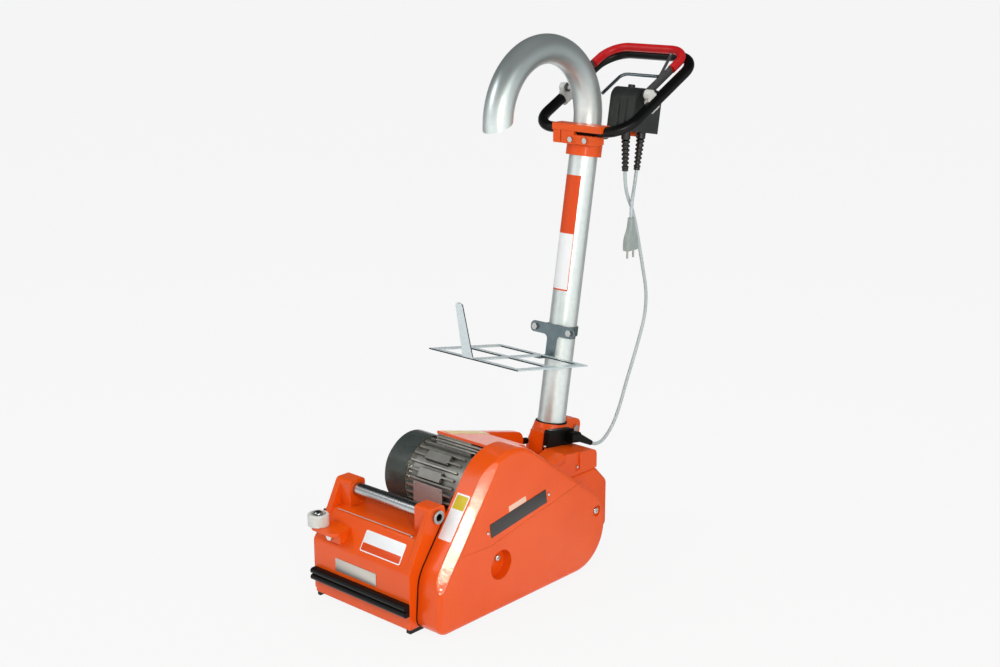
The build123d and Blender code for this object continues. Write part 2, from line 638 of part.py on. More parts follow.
def motor_fan():
    left = COWL_LEFT + 20
    right = STATOR_LEFT - 8
    body = rod_x(20, left, right, MOTOR_Y, MOTOR_Z)
    body += rod_x(COWL_R - 14, right - 3, right, MOTOR_Y, MOTOR_Z)
    blade = box(left + 2, right, -1.5, 1.5, 18, COWL_R - 14)
    for i in range(9):
        body += Pos(0, MOTOR_Y, MOTOR_Z) * Rot(40 * i, 0, 0) * blade
    return body - rod_x(MOTOR_SHAFT_R, COWL_LEFT, STATOR_LEFT, MOTOR_Y, MOTOR_Z)


def fan_cowl():
    def cup(radius, left, right):
        cone = 15.0
        body = rod_x(radius, left + cone, right, 0, 0)
        tip = Pos(left + cone / 2, 0, 0) * Rot(0, -90, 0) * Cone(radius, radius - cone, cone)
        return body + tip

    body = cup(COWL_R, COWL_LEFT, COWL_RIGHT)
    body -= cup(COWL_R - COWL_WALL, COWL_LEFT + 2, COWL_RIGHT + 1)
    for radius, count in ((18, 8), (32, 14), (45, 20)):
        for i in range(count):
            turn = 2 * math.pi * i / count
            body -= rod_x(4.2, COWL_LEFT - 1, COWL_LEFT + 4, radius * math.cos(turn),
                          radius * math.sin(turn))
    return Pos(0, MOTOR_Y, MOTOR_Z) * body


def ball_bearings():
    drum = (DRUM_BEARING_R, DRUM_SHAFT_R + RUN, BEARING_W)
    motor = (MOTOR_BEARING_R, MOTOR_SHAFT_R + RUN, MOTOR_BEARING_W)
    fan = (FAN_BEARING_R, FAN_SHAFT_R + RUN, 14.0)
    return Compound([
        bearing(*drum, DRUM_RIGHT - 34, DRUM_Y, DRUM_Z),
        bearing(*drum, SIDE_X - BEARING_W, DRUM_Y, DRUM_Z),
        bearing(*motor, STATOR_LEFT - 2, MOTOR_Y, MOTOR_Z),
        bearing(*motor, SIDE_X - MOTOR_BEARING_W, MOTOR_Y, MOTOR_Z),
        bearing(*fan, CHAMBER_RIGHT + 5, FAN_Y, FAN_Z),
        bearing(*fan, SIDE_X - 14, FAN_Y, FAN_Z),
    ])


# Fan casing, fan, duct and wheels

def casing_points(inset):
    return [
        (CASING_FRONT + inset, CASING_LOW + inset),
        (CASING_REAR - 71.5, CASING_LOW + inset),
        (CASING_REAR - inset, CASING_LOW + 32 + inset * 0.8),
        (CASING_REAR - inset, CASING_TOP - 37 - inset * 0.5),
        (CASING_REAR - 36.5 - inset * 0.5, CASING_TOP - inset),
        (CASING_FRONT + inset, CASING_TOP - inset),
    ]


def casing_prism(inset, half):
    return prism_x(rounded(casing_points(inset), [4, 6, 16, 18, 18, 4]), -half, half)


def fan_casing():
    body = casing_prism(0, CASING_HALF)
    body = fillet(body.edges().filter_by(Axis.X, reverse=True).group_by(Axis.Y)[-1], 8)
    inner = CASING_HALF - CASING_WALL
    hollow = casing_prism(CASING_WALL, inner)
    scroll = rod_x(CHAMBER_R + 4, CHAMBER_LEFT - 4, CHAMBER_RIGHT + 4, FAN_Y, FAN_Z)
    boss = rod_x(FAN_BEARING_R + 7, CHAMBER_RIGHT, inner + 1, FAN_Y, FAN_Z)
    riser = TUBE * Pos(0, 0, -75) * Cylinder(TUBE_R + 4, 150)
    wells = Compound([])
    pockets = Compound([])
    for side in (-1, 1):
        middle = side * WHEEL_X
        half = WHEEL_W / 2 + 3
        low = WHEEL_Y - WHEEL_R - 6
        wells += box(middle - half - 5, middle + half + 5, low - 5, CASING_REAR, 0, WHEEL_R * 2 + 11)
        pockets += box(middle - half, middle + half, low, CASING_REAR + 9, -1, WHEEL_R * 2 + 6)
    full = casing_prism(0, CASING_HALF)
    walls = (scroll + boss + riser + wells) & full
    body = body - hollow + (walls & casing_prism(CASING_WALL - 1, inner + 1))
    body -= rod_x(CHAMBER_R, CHAMBER_LEFT, CHAMBER_RIGHT, FAN_Y, FAN_Z)
    body -= rod_x(FAN_R * 0.55, CHAMBER_LEFT - 5, CHAMBER_LEFT + 1, FAN_Y, FAN_Z)
    body -= rod_x(FAN_BEARING_R, CHAMBER_RIGHT + 5, CHAMBER_RIGHT + 19, FAN_Y, FAN_Z)
    body -= rod_x(FAN_BEARING_R, SIDE_X - 14, SIDE_X + 1, FAN_Y, FAN_Z)
    body -= rod_x(FAN_BEARING_R - 4, CHAMBER_RIGHT - 1, SIDE_X + 1, FAN_Y, FAN_Z)
    body -= TUBE * Pos(0, 0, -70) * Cylinder(TUBE_R - TUBE_WALL, 150)
    body -= pockets
    body -= rod_x(AXLE_R + SEAT, -CASING_HALF + 2, CASING_HALF - 2, WHEEL_Y, WHEEL_R)
    return body - box(-DUCT_HALF + DUCT_WALL, DUCT_HALF - DUCT_WALL, CASING_FRONT - 1,
                      CASING_FRONT + CASING_WALL + 1, DUCT_LOW + DUCT_WALL, DUCT_HIGH - DUCT_WALL)


def dust_duct():
    outer = box(-DUCT_HALF, DUCT_HALF, HOOD_REAR, CASING_FRONT, DUCT_LOW, DUCT_HIGH)
    return outer - box(-DUCT_HALF + DUCT_WALL, DUCT_HALF - DUCT_WALL, HOOD_REAR - 1, CASING_FRONT + 1,
                       DUCT_LOW + DUCT_WALL, DUCT_HIGH - DUCT_WALL)


def fan_impeller():
    left = CHAMBER_LEFT + 5
    right = CHAMBER_RIGHT - 8
    body = rod_x(FAN_R, right - 4, right, FAN_Y, FAN_Z)
    body += rod_x(22, left + 14, right, FAN_Y, FAN_Z)
    body += ring_x(FAN_R, FAN_R * 0.6, left, left + 3, FAN_Y, FAN_Z)
    blade = box(left + 1, right - 2, -1.5, 1.5, FAN_R * 0.45, FAN_R - 2)
    blade = Rot(20, 0, 0) * Pos(0, 14, 0) * blade
    blade = blade & rod_x(FAN_R - 0.5, left, right, 0, 0)
    for i in range(9):
        body += Pos(0, FAN_Y, FAN_Z) * Rot(40 * i, 0, 0) * blade
    return body - rod_x(FAN_SHAFT_R, left - 1, right + 1, FAN_Y, FAN_Z)


def fan_shaft():
    end = FAN_BELT_X + BELT_W / 2 + FLANGE_T + 2
    return rod_x(FAN_SHAFT_R, CHAMBER_LEFT + 14, end, FAN_Y, FAN_Z)


def wheel_axle():
    return rod_x(AXLE_R, -CASING_HALF + 2, CASING_HALF - 2, WHEEL_Y, WHEEL_R)


def wheel(side):
    middle = side * WHEEL_X
    body = rod_x(WHEEL_R, middle - WHEEL_W / 2, middle + WHEEL_W / 2, WHEEL_Y, WHEEL_R)
    body = fillet(body.edges().filter_by(GeomType.CIRCLE), 4)
    for x in (middle - WHEEL_W / 2, middle + WHEEL_W / 2):
        body -= ring_x(WHEEL_R - 10, AXLE_R + 8, x - 6, x + 6, WHEEL_Y, WHEEL_R)
    return body - rod_x(AXLE_R + RUN, -CASING_HALF, CASING_HALF, WHEEL_Y, WHEEL_R)


# Deck cover over the motor, and the tube's socket

def deck_outline(inset):
    """Side view of the deck cover: a long slope, a round rear corner and an upright back."""
    slope = (DECK_FRONT_Z - DECK_BACK_Z) / (DECK_BACK_Y - DECK_FRONT_Y)
    drop = inset * math.hypot(1, slope)
    front = DECK_FRONT_Y - (1 if inset else 0)
    return rounded(
        [
            (front, DECK_FRONT_Z - drop + slope * (DECK_FRONT_Y - front)),
            (DECK_BACK_Y - inset, DECK_BACK_Z - drop + slope * inset),
            (DECK_BACK_Y - inset, CASING_TOP - (1 if inset else 0)),
            (front, CASING_TOP - (1 if inset else 0)),
        ],
        [0, DECK_ROUND - inset, 0, 0],
    )


def deck_cover():
    step_top = DECK_FRONT_Z + 1
    body = prism_x(deck_outline(0), DECK_LEFT, SIDE_X)
    body -= box(STEP_X, SIDE_X + 1, STEP_Y, DECK_BACK_Y + 1, STEP_Z, step_top)
    shoulder = rounded(
        [(DECK_BACK_Y - 2, CASING_TOP), (SHOULDER_Y, CASING_TOP), (SHOULDER_Y, SHOULDER_Z),
         (DECK_BACK_Y - 2, SHOULDER_Z + 13)],
        [0, 0, 12, 0],
    )
    body += prism_x(shoulder, SHOULDER_X, SIDE_X)
    inside = prism_x(deck_outline(DECK_T), DECK_LEFT + DECK_T, SIDE_X - DECK_T)
    body -= inside - box(DECK_LEFT, SIDE_X, STEP_Y - DECK_T, DECK_BACK_Y, STEP_Z - DECK_T, step_top)
    front = DECK_BACK_Y + DECK_T
    rear = SHOULDER_Y - DECK_T
    hollow = Polyline((DECK_BACK_Y - 10, CASING_TOP - 1), (rear, CASING_TOP - 1), (rear, SHOULDER_Z - 10),
                      (front, SHOULDER_Z - 2), (front, STEP_Z - DECK_T), (DECK_BACK_Y - 10, STEP_Z - DECK_T),
                      close=True)
    body -= prism_x(make_face(hollow), SHOULDER_X + DECK_T, SIDE_X - DECK_T)
    body -= box(DECK_LEFT - 1, SIDE_X + 1, DECK_FRONT_Y - 1, CASING_FRONT - 30,
                CASING_TOP - 1, CASING_TOP + 40)
    body -= box(SIDE_X - 3, SIDE_X + 1, SHOULDER_Y - 66, SHOULDER_Y - 52, CASING_TOP + 8, SHOULDER_Z + 20)
    open_side = prism_x(deck_outline(DECK_T), DECK_LEFT - 1, DECK_LEFT + DECK_T + 1)
    body -= open_side & box(-SIDE_X, SIDE_X, DECK_FRONT_Y - 2, TERMINAL_REAR + 1, CASING_TOP - 2, step_top)
    return body - rod_x(FIN_R + 3, DECK_LEFT - 1, SIDE_X + 1, MOTOR_Y, MOTOR_Z)


def connector_place(x, y, z):
    """A place measured from the back of the connector box, square to the tube."""
    return TUBE * Pos(CONNECTOR_X + x, -27 + y, -24.5 + z)


def tube_socket():
    depth = 115.0
    body = TUBE * Pos(0, 0, -SOCKET_FLARE / 2) * Cone(SOCKET_BASE_R, SOCKET_R, SOCKET_FLARE)
    body += TUBE * rod_z(SOCKET_BASE_R, 0, 0, -depth, -SOCKET_FLARE)
    body += TUBE * box(0, CONNECTOR_X, -62, 15, -80, -10)
    ears = box(-14, 14, TUBE_R - 2, EAR_BOLT + 17, -40, 5)
    ears = fillet(ears.edges().filter_by(Axis.X).group_by(Axis.Y)[-1], 14)
    body += TUBE * ears
    body -= box(CONNECTOR_X, CONNECTOR_X + 40, TUBE_Y - 90, TUBE_Y + 90, 0, SOCKET_TOP + 90)
    body -= TUBE * rod_z(TUBE_R + SEAT, 0, 0, -TUBE_SEAT, 60)
    body -= TUBE * rod_z(TUBE_R - TUBE_WALL, 0, 0, -2 * depth, 0)
    body -= TUBE * box(-1.5, 1.5, TUBE_R - 4, EAR_BOLT + 20, -46, 6)
    body -= TUBE * rod_x(4 + SEAT, -30, 30, EAR_BOLT, -15)
    body -= casing_prism(0, CASING_HALF)
    return body - prism_x(deck_outline(0), DECK_LEFT, SIDE_X)


def connector_box():
    shell = fillet(Box(13, 77, 42).edges().filter_by(Axis.X), 5)
    return connector_place(6.5, 0, 0) * shell


PLUG_PLACE = (22.0, 20.0, 6.0)
BOOT_LONG = 50.0
BOOT_DROP = 19.0           # boot's slope below the plug's own axis


def boot_place(along):
    """A place on the middle line of the plug's boot."""
    return connector_place(*PLUG_PLACE) * Pos(0, 18, 0) * Rot(-BOOT_DROP, 0, 0) * Pos(0, along, 0)


def connector_plug():
    body = fillet(Box(18, 26, 21).edges().filter_by(Axis.Y), 5)
    body = connector_place(*PLUG_PLACE) * Pos(0, 7, 0) * body
    return body + boot_place(BOOT_LONG / 2) * Rot(-90, 0, 0) * Cone(9, CORD_R + 1.8, BOOT_LONG)


# Guide tube and outlet

def guide_tube():
    length = TUBE_SEAT + TUBE_JOINT
    tube = Cylinder(TUBE_R, length) - Cylinder(TUBE_R - TUBE_WALL, length + 2)
    return TUBE * Pos(0, 0, length / 2 - TUBE_SEAT) * tube


def gooseneck():
    lean = math.radians(TUBE_LEAN)
    low = Vector(0, 0, TUBE_JOINT)
    start = Vector(0, 0, BEND_START)
    turn = math.pi + lean
    mid = Vector(0, -BEND_R + BEND_R * math.cos(turn / 2), BEND_START + BEND_R * math.sin(turn / 2))
    end = Vector(0, -BEND_R + BEND_R * math.cos(turn), BEND_START + BEND_R * math.sin(turn))
    down = Vector(0, math.sin(lean), -math.cos(lean))
    path = Wire([
        Edge.make_line(low, start),
        Edge.make_three_point_arc(start, mid, end),
        Edge.make_line(end, end + down * (OUTLET_DROP + 40)),
    ])
    body = hollow_rod(TUBE_R, TUBE_WALL, path)
    spigot = rod_z(TUBE_R - TUBE_WALL - SEAT, 0, 0, TUBE_JOINT - 40, TUBE_JOINT)
    spigot += rod_z(TUBE_R - 1, 0, 0, TUBE_JOINT, TUBE_JOINT + 12)
    spigot -= rod_z(TUBE_R - TUBE_WALL - 2, 0, 0, TUBE_JOINT - 50, TUBE_JOINT + 20)
    body = TUBE * (body + spigot)
    outlet = (TUBE * (Pos(*end) * Vertex(0, 0, 0))).center()
    keep = Pos(0, outlet.Y, outlet.Z - OUTLET_DROP) * Rot(OUTLET_SLANT, 0, 0) * Pos(0, 0, -100)
    return body - keep * Box(120, 120, 200)


# Rack

def rack_plate():
    low = -RACK_BACK - RACK_DEPTH
    body = box(-RACK_HALF, RACK_HALF, low, -RACK_BACK, RACK_S - RACK_T, RACK_S)
    wide = RACK_HALF - 1.5 * STRIP
    deep = (RACK_DEPTH - 3 * STRIP) / 2
    for side in (-1, 1):
        x = side * (STRIP / 2 + wide / 2)
        for row in (0, 1):
            y = low + STRIP + deep / 2 + row * (deep + STRIP)
            body -= Pos(x, y, RACK_S) * Box(wide, deep, 3 * RACK_T)
    tab = make_face(FilletPolyline((-13, 0), (13, 0), (8.5, TAB_H), (-8.5, TAB_H),
                                   radius=[0, 0, 6, 6], close=True))
    tab = extrude(Plane.XZ * tab, amount=RACK_T / 2, both=True)
    place = Pos(0, low + RACK_T / 2, RACK_S - RACK_T / 2) * Rot(TUBE_LEAN + 12, 0, 0)
    body += place * Pos(TAB_X, 0, 0) * tab
    return TUBE * body


def rack_bracket():
    face = -TUBE_R - 0.2
    foot = RACK_S - RACK_T
    low = STRAP_S - STRAP_H / 2
    high = STRAP_S + STRAP_H / 2
    tee = rounded(
        [(-STRAP_HALF, high), (STRAP_HALF, high), (STRAP_HALF, low), (STEM_HALF, low),
         (STEM_HALF, foot - STRAP_T), (-STEM_HALF, foot - STRAP_T), (-STEM_HALF, low), (-STRAP_HALF, low)],
        [EAR_ROUND, EAR_ROUND, EAR_ROUND, EAR_ROUND, 0, 0, EAR_ROUND, EAR_ROUND],
    )
    body = Pos(0, face - STRAP_T / 2, 0) * extrude(Plane.XZ * tee, amount=STRAP_T / 2, both=True)
    body += box(-STEM_HALF, STEM_HALF, -RACK_BACK - 24, face, foot - STRAP_T, foot)
    return TUBE * (body - rack_bolt_holes())


def rack_strap():
    face = -TUBE_R - 0.2
    inner = TUBE_R + 0.2
    low = STRAP_S - STRAP_H / 2 + 2
    high = STRAP_S + STRAP_H / 2 - 2
    band = rod_z(inner + STRAP_T, 0, 0, low, high) - box(-99, 99, -99, 0, low - 1, high + 1)
    band += box(-inner - STRAP_T, inner + STRAP_T, face, 0, low, high)
    band -= rod_z(inner, 0, 0, low - 1, high + 1)
    band -= box(-inner, inner, -3 * TUBE_R, 0, low - 1, high + 1)
    for x in (-STRAP_HALF + 2, inner):
        band += box(x, x + STRAP_HALF - 2 - inner, face, face + STRAP_T, low, high)
    return TUBE * (band - rack_bolt_holes())


def rack_bolt_holes():
    holes = Compound([])
    for x in (-RACK_BOLT_X, RACK_BOLT_X):
        holes += Pos(x, -TUBE_R, STRAP_S) * Rot(90, 0, 0) * Cylinder(4 + SEAT, 40)
    return holes


# Handle

CAP_LOW = HANDLE_Z - 1
CAP_HIGH = HANDLE_Z + HANDLE_R + 1.5
CAP_FRONT = HANDLE_Y - 19
CAP_BACK = HANDLE_Y + 12
BLOCK_FRONT = HANDLE_Y - 17
BLOCK_LOW = HANDLE_Z - 26


def handle_path():
    """Middle line of the closed handle loop, in the handle's own frame."""
    return FilletPolyline(
        (0, 0), (HANDLE_HALF, 0), (HANDLE_HALF, HANDLE_LONG), (0, HANDLE_LONG),
        radius=[LOW_CORNER, HIGH_CORNER],
    )


def handle_frame():
    half = hollow_rod(HANDLE_R, HANDLE_WALL, handle_path())
    return HANDLE * (half + mirror(half, about=Plane.YZ))


def bar_bore():
    """The room the handle loop takes in the clamp and its cap."""
    path = handle_path()
    half = sweep(Plane(origin=path @ 0, z_dir=path % 0) * Circle(HANDLE_R + SEAT), path=path)
    return HANDLE * (half + mirror(half, about=Plane.YZ))


def handle_clamp():
    body = TUBE * rod_z(CLAMP_R, 0, 0, CLAMP_LOW, CLAMP_HIGH)
    body += box(CAP_LEFT + 1, 14, BLOCK_FRONT, HANDLE_Y + 16, BLOCK_LOW, CAP_LOW)
    body += box(10, BOX_SEAM, BLOCK_FRONT + 2, HANDLE_Y + 16, BLOCK_LOW, HANDLE_Z - HANDLE_R + 2)
    shelf = box(14, BOX_SEAM - 6, 14, BOX_BACK - 10, BOX_LOW - 9, BOX_LOW)
    shelf = fillet(shelf.edges().filter_by(Axis.Z).group_by(Axis.Y)[-1], 10)
    body += TUBE * shelf
    body += TUBE * rod_x(9, TUBE_R - 4, CLAMP_R + 6, -KNOB_FORWARD, KNOB_S)
    body -= TUBE * rod_z(TUBE_R + SEAT, 0, 0, CLAMP_LOW - 30, CLAMP_HIGH + 60)
    body -= bar_bore()
    body -= box(CAP_LEFT - 9, CAP_RIGHT + 9, CAP_FRONT, CAP_BACK, CAP_LOW, CAP_HIGH + 20)
    body -= TUBE * rod_x(4 + RUN, TUBE_R - 5, CLAMP_R + 20, -KNOB_FORWARD, KNOB_S)
    body -= box(-19.5, -17, BLOCK_FRONT - 1, HANDLE_Y + 2, BLOCK_LOW - 1, CAP_LOW)
    for x in CLAMP_BOLTS:
        body -= Pos(x, HANDLE_Y, BLOCK_LOW + 9) * Rot(90, 0, 0) * Cylinder(3 + SEAT, 60)
    return body


def handle_cap():
    body = box(CAP_LEFT, CAP_RIGHT, CAP_FRONT, CAP_BACK, CAP_LOW, CAP_HIGH)
    body = fillet(body.edges().filter_by(Axis.X).group_by(Axis.Z)[-1], 2)
    return body - bar_bore() - TUBE * rod_z(TUBE_R + SEAT, 0, 0, CLAMP_LOW - 30, CLAMP_HIGH + 60)


def clamp_knob():
    face = CLAMP_R + 6 + GAP
    grip = rod_x(11, face, face + 18, 0, 0)
    grip = fillet(grip.edges().filter_by(GeomType.CIRCLE).group_by(Axis.X)[-1], 2.5)
    for i in range(10):
        turn = math.radians(36 * i)
        grip -= rod_x(1.6, face + 3, face + 20, 11.6 * math.cos(turn), 11.6 * math.sin(turn))
    knob = grip + rod_x(4, TUBE_R - 0.4, face + 1, 0, 0)
    return TUBE * Pos(0, -KNOB_FORWARD, KNOB_S) * knob


def bail_bushes():
    bushes = []
    for side in (-1, 1):
        x = side * HANDLE_HALF
        inner = side * (BAIL_HALF + LEG_T / 2 + GAP)
        outer = side * (HANDLE_HALF + 1)
        body = Pos(x, BAIL_PIVOT, 0) * Rot(90, 0, 0) * Cylinder(HANDLE_R + 5, 26)
        body += rod_x(LEG_W / 2 + 2, min(inner, outer), max(inner, outer), BAIL_PIVOT, BAIL_LIFT)
        body -= Pos(x, BAIL_PIVOT, 0) * Rot(90, 0, 0) * Cylinder(HANDLE_R + SEAT, 60)
        keep = box(min(inner, outer), max(inner, outer), 0, HANDLE_LONG, -6 * HANDLE_R, 6 * HANDLE_R)
        body = body & keep
        pin_end = side * (BAIL_HALF - LEG_T / 2 - 1.5)
        body += rod_x(BAIL_PIN_R, min(pin_end, outer), max(pin_end, outer), BAIL_PIVOT, BAIL_LIFT)
        bushes.append(HANDLE * body)
    return Compound(bushes)


# Bail

def bail_leg(side):
    x = side * BAIL_HALF
    leg = box(x - LEG_T / 2, x + LEG_T / 2, BAIL_PIVOT, BAIL_GRIP_LOW + 14,
              BAIL_LIFT - LEG_W / 2, BAIL_LIFT + LEG_W / 2)
    leg += rod_x(LEG_W / 2, x - LEG_T / 2, x + LEG_T / 2, BAIL_PIVOT, BAIL_LIFT)
    if side > 0:
        leg += box(x - LEG_T / 2, x + LEG_T / 2, ROD_S - 9, ROD_S + 9, BAIL_LIFT, ROD_LIFT + 7)
    return leg - rod_x(BAIL_PIN_R + RUN, x - 20, x + 20, BAIL_PIVOT, BAIL_LIFT)


def bail_legs():
    return Compound([HANDLE * bail_leg(-1), HANDLE * bail_leg(1)])


def bail_grip():
    top = HANDLE_LONG - BAIL_STEP
    path = FilletPolyline(
        (-BAIL_HALF, BAIL_GRIP_LOW, BAIL_LIFT), (-BAIL_HALF, top, BAIL_LIFT),
        (BAIL_HALF, top, BAIL_LIFT), (BAIL_HALF, BAIL_GRIP_LOW, BAIL_LIFT),
        radius=[HIGH_CORNER - 10, HIGH_CORNER - 10],
    )
    grip = sweep(Plane(origin=path @ 0, z_dir=path % 0) * Circle(BAIL_R), path=path)
    return HANDLE * (grip - bail_leg(-1) - bail_leg(1))


def bail_rod():
    path = FilletPolyline((BAIL_HALF - LEG_T / 2, ROD_S, ROD_LIFT), (3, ROD_S, ROD_LIFT),
                          (3, ROD_S - 72, ROD_LIFT), radius=[14])
    return HANDLE * sweep(Plane(origin=path @ 0, z_dir=path % 0) * Circle(ROD_R), path=path)


# Switch box

def switch_shell(inset):
    body = box(BOX_LEFT + inset, BOX_RIGHT - inset, BOX_FRONT + inset, BOX_BACK - inset,
               BOX_LOW + inset, BOX_HIGH - inset)
    edges = body.edges().filter_by(Axis.X).group_by(Axis.Z)[-1]
    return fillet(edges, 22 - inset)


def switch_parts():
    shell = switch_shell(0)
    for x in (BOX_LEFT + 22, BOX_RIGHT - 22):
        rib = box(x - 3, x + 3, BOX_FRONT - 2.5, BOX_FRONT + 1, BOX_LOW, BOX_HIGH - 24)
        shell += rib
    shell -= switch_shell(BOX_WALL)
    shell -= rod_z(BUTTON_R + GAP, BUTTON_X, BUTTON_T, BOX_HIGH - 10, BOX_HIGH + 5)
    return shell


BUTTON_X = BOX_LEFT + 16
BUTTON_T = (BOX_FRONT + BOX_BACK) / 2
SHELL_REACH = (BOX_FRONT - 5, BOX_BACK + 5, BOX_LOW - 5, BOX_HIGH + 5)


def switch_box():
    return TUBE * (switch_parts() & box(BOX_LEFT - 5, BOX_SEAM, *SHELL_REACH))


def switch_cover():
    return TUBE * (switch_parts() & box(BOX_SEAM, BOX_RIGHT + 5, *SHELL_REACH))


def lock_button():
    body = rod_z(BUTTON_R, BUTTON_X, BUTTON_T, BOX_HIGH - BOX_WALL, BOX_HIGH + 6)
    body = fillet(body.edges().filter_by(GeomType.CIRCLE).group_by(Axis.Z)[-1], 1.5)
    flange = rod_z(BUTTON_R + 3, BUTTON_X, BUTTON_T, BOX_HIGH - BOX_WALL - GAP - 3, BOX_HIGH - BOX_WALL - GAP)
    stem = rod_z(BUTTON_R, BUTTON_X, BUTTON_T, BOX_HIGH - BOX_WALL - GAP - 1, BOX_HIGH - BOX_WALL + 1)
    return TUBE * (body + flange + stem)


# Cords

def on_tube(square, along):
    """Y and Z of a place measured square to the tube and along it."""
    lean = math.radians(TUBE_LEAN)
    return (TUBE_Y + along * math.sin(lean) + square * math.cos(lean),
            SOCKET_TOP + along * math.cos(lean) - square * math.sin(lean))


MOTOR_GLAND = on_tube(BOX_FRONT + 27.12, BOX_LOW - 77.26)
MAINS_GLAND = on_tube(BOX_FRONT + 64.01, BOX_LOW - 73.49)
PLUG_X = CORD_X + 10
PLUG_Y = MAINS_GLAND[0] - 27.5
PLUG_TOP = MAINS_GLAND[1] - 89.0
# The motor cord's bow: share of its drop, distance behind the socket, shift in X.
CORD_BOW = (
    (0.8378, 173.5, -7.5), (0.6599, 202.5, -8.0), (0.4746, 230.5, -8.0), (0.3060, 193.5, -8.0),
    (0.1929, 163.5, -8.5), (0.1003, 143.5, -9.0), (0.0224, 117.5, -9.5),
)


def gland(y, z, lean):
    """A ribbed strain relief hanging from the switch box, its low end at y and z."""
    ribs = 7
    pitch = 8.2
    profile = [(0, 0), (CORD_R + 2.6, 0), (CORD_R + 2.6, 5)]
    for i in range(ribs):
        low = 5 + pitch * i
        r = CORD_R + 3.2 + 2.0 * i / ribs
        profile += [(r - 2.2, low), (r, low + 1), (r, low + pitch * 0.55), (r - 2.2, low + pitch * 0.7)]
    profile += [(GLAND_R, 5 + pitch * ribs), (GLAND_R, GLAND_LONG), (0, GLAND_LONG)]
    body = revolve(Plane.XZ * make_face(Polyline(*profile, close=True)), axis=Axis.Z)
    return Pos(CORD_X, y, z) * Rot(-lean, 0, 0) * body


def cord_glands():
    above = TUBE * box(0, 2 * BOX_RIGHT, -BOX_BACK, 2 * BOX_BACK, BOX_LOW, BOX_LOW + 2 * GLAND_LONG)
    return Compound([gland(*MOTOR_GLAND, 0) - above, gland(*MAINS_GLAND, TUBE_LEAN) - above])


def motor_cord():
    """Out of the gland, bowed to the rear and into the plug's boot."""
    boot = boot_place(BOOT_LONG)
    near = boot_place(BOOT_LONG + 28)
    y, z = MOTOR_GLAND
    return cord([
        (CORD_X, y, z),
        (CORD_X, y, z - 36.5),
        *[(CORD_X + x, TUBE_Y + back, boot.position.Z + share * (z - boot.position.Z))
          for share, back, x in CORD_BOW],
        tuple(near.position),
        tuple(boot.position),
    ])


def mains_lead():
    """A short lead that hangs from its gland and ends in the plug."""
    y, z = MAINS_GLAND
    lean = math.radians(TUBE_LEAN)
    return cord([
        (CORD_X, y, z),
        (CORD_X, y - 25 * math.sin(lean), z - 25 * math.cos(lean)),
        (PLUG_X, PLUG_Y, PLUG_TOP + 26),
        (PLUG_X, PLUG_Y, PLUG_TOP),
    ])


def mains_plug():
    outline = FilletPolyline(
        (-5.5, 0), (5.5, 0), (6.5, -22), (17, -42), (17, -60), (15, -66), (-15, -66), (-17, -60),
        (-17, -42), (-6.5, -22), radius=[1, 1, 8, 8, 2, 1, 1, 2, 8, 8], close=True,
    )
    body = extrude(Plane.YZ * make_face(outline), amount=7, both=True)
    return Pos(PLUG_X, PLUG_Y, PLUG_TOP) * body


def plug_pins():
    low = PLUG_TOP - 66
    return Compound([rod_z(2.0, PLUG_X, PLUG_Y + y, low - 15, low) for y in (-9.5, 9.5)])


def frame_bolts():
    bolts = [
        Pos(ROLLER_X, ROLLER_Y, ROLLER_LOW + ROLLER_H - 8 + GAP) * bolt(8, 6, 5, ROLLER_H - 8 + GAP * 2 + 8),
        Pos(BRACKET_BOLT_X, HOOD_FRONT - 6, BRACKET_BOLT_Z) * Rot(90, 0, 0) * bolt(7.5, 5, 4, 22),
        TUBE * Pos(14, EAR_BOLT, -15) * Rot(0, 90, 0) * bolt(7.5, 5, 4, 30),
    ]
    for x, front in zip(CLAMP_BOLTS, (BLOCK_FRONT, BLOCK_FRONT + 2)):
        bolts.append(Pos(x, front, BLOCK_LOW + 9) * Rot(90, 0, 0) * bolt(6, 5, 3, 16))
    front = -TUBE_R - 0.2 - STRAP_T
    for x in (-RACK_BOLT_X, RACK_BOLT_X):
        bolts.append(TUBE * Pos(x, front, STRAP_S) * Rot(90, 0, 0) * bolt(7, 5, 4, 14))
    return Compound(bolts)


MOTOR_WHEEL = (MOTOR_Y, MOTOR_Z, MOTOR_PULLEY_R)
DRUM_WHEEL = (DRUM_Y, DRUM_Z, DRUM_PULLEY_R)
FAN_WHEEL = (FAN_Y, FAN_Z, FAN_PULLEY_R)

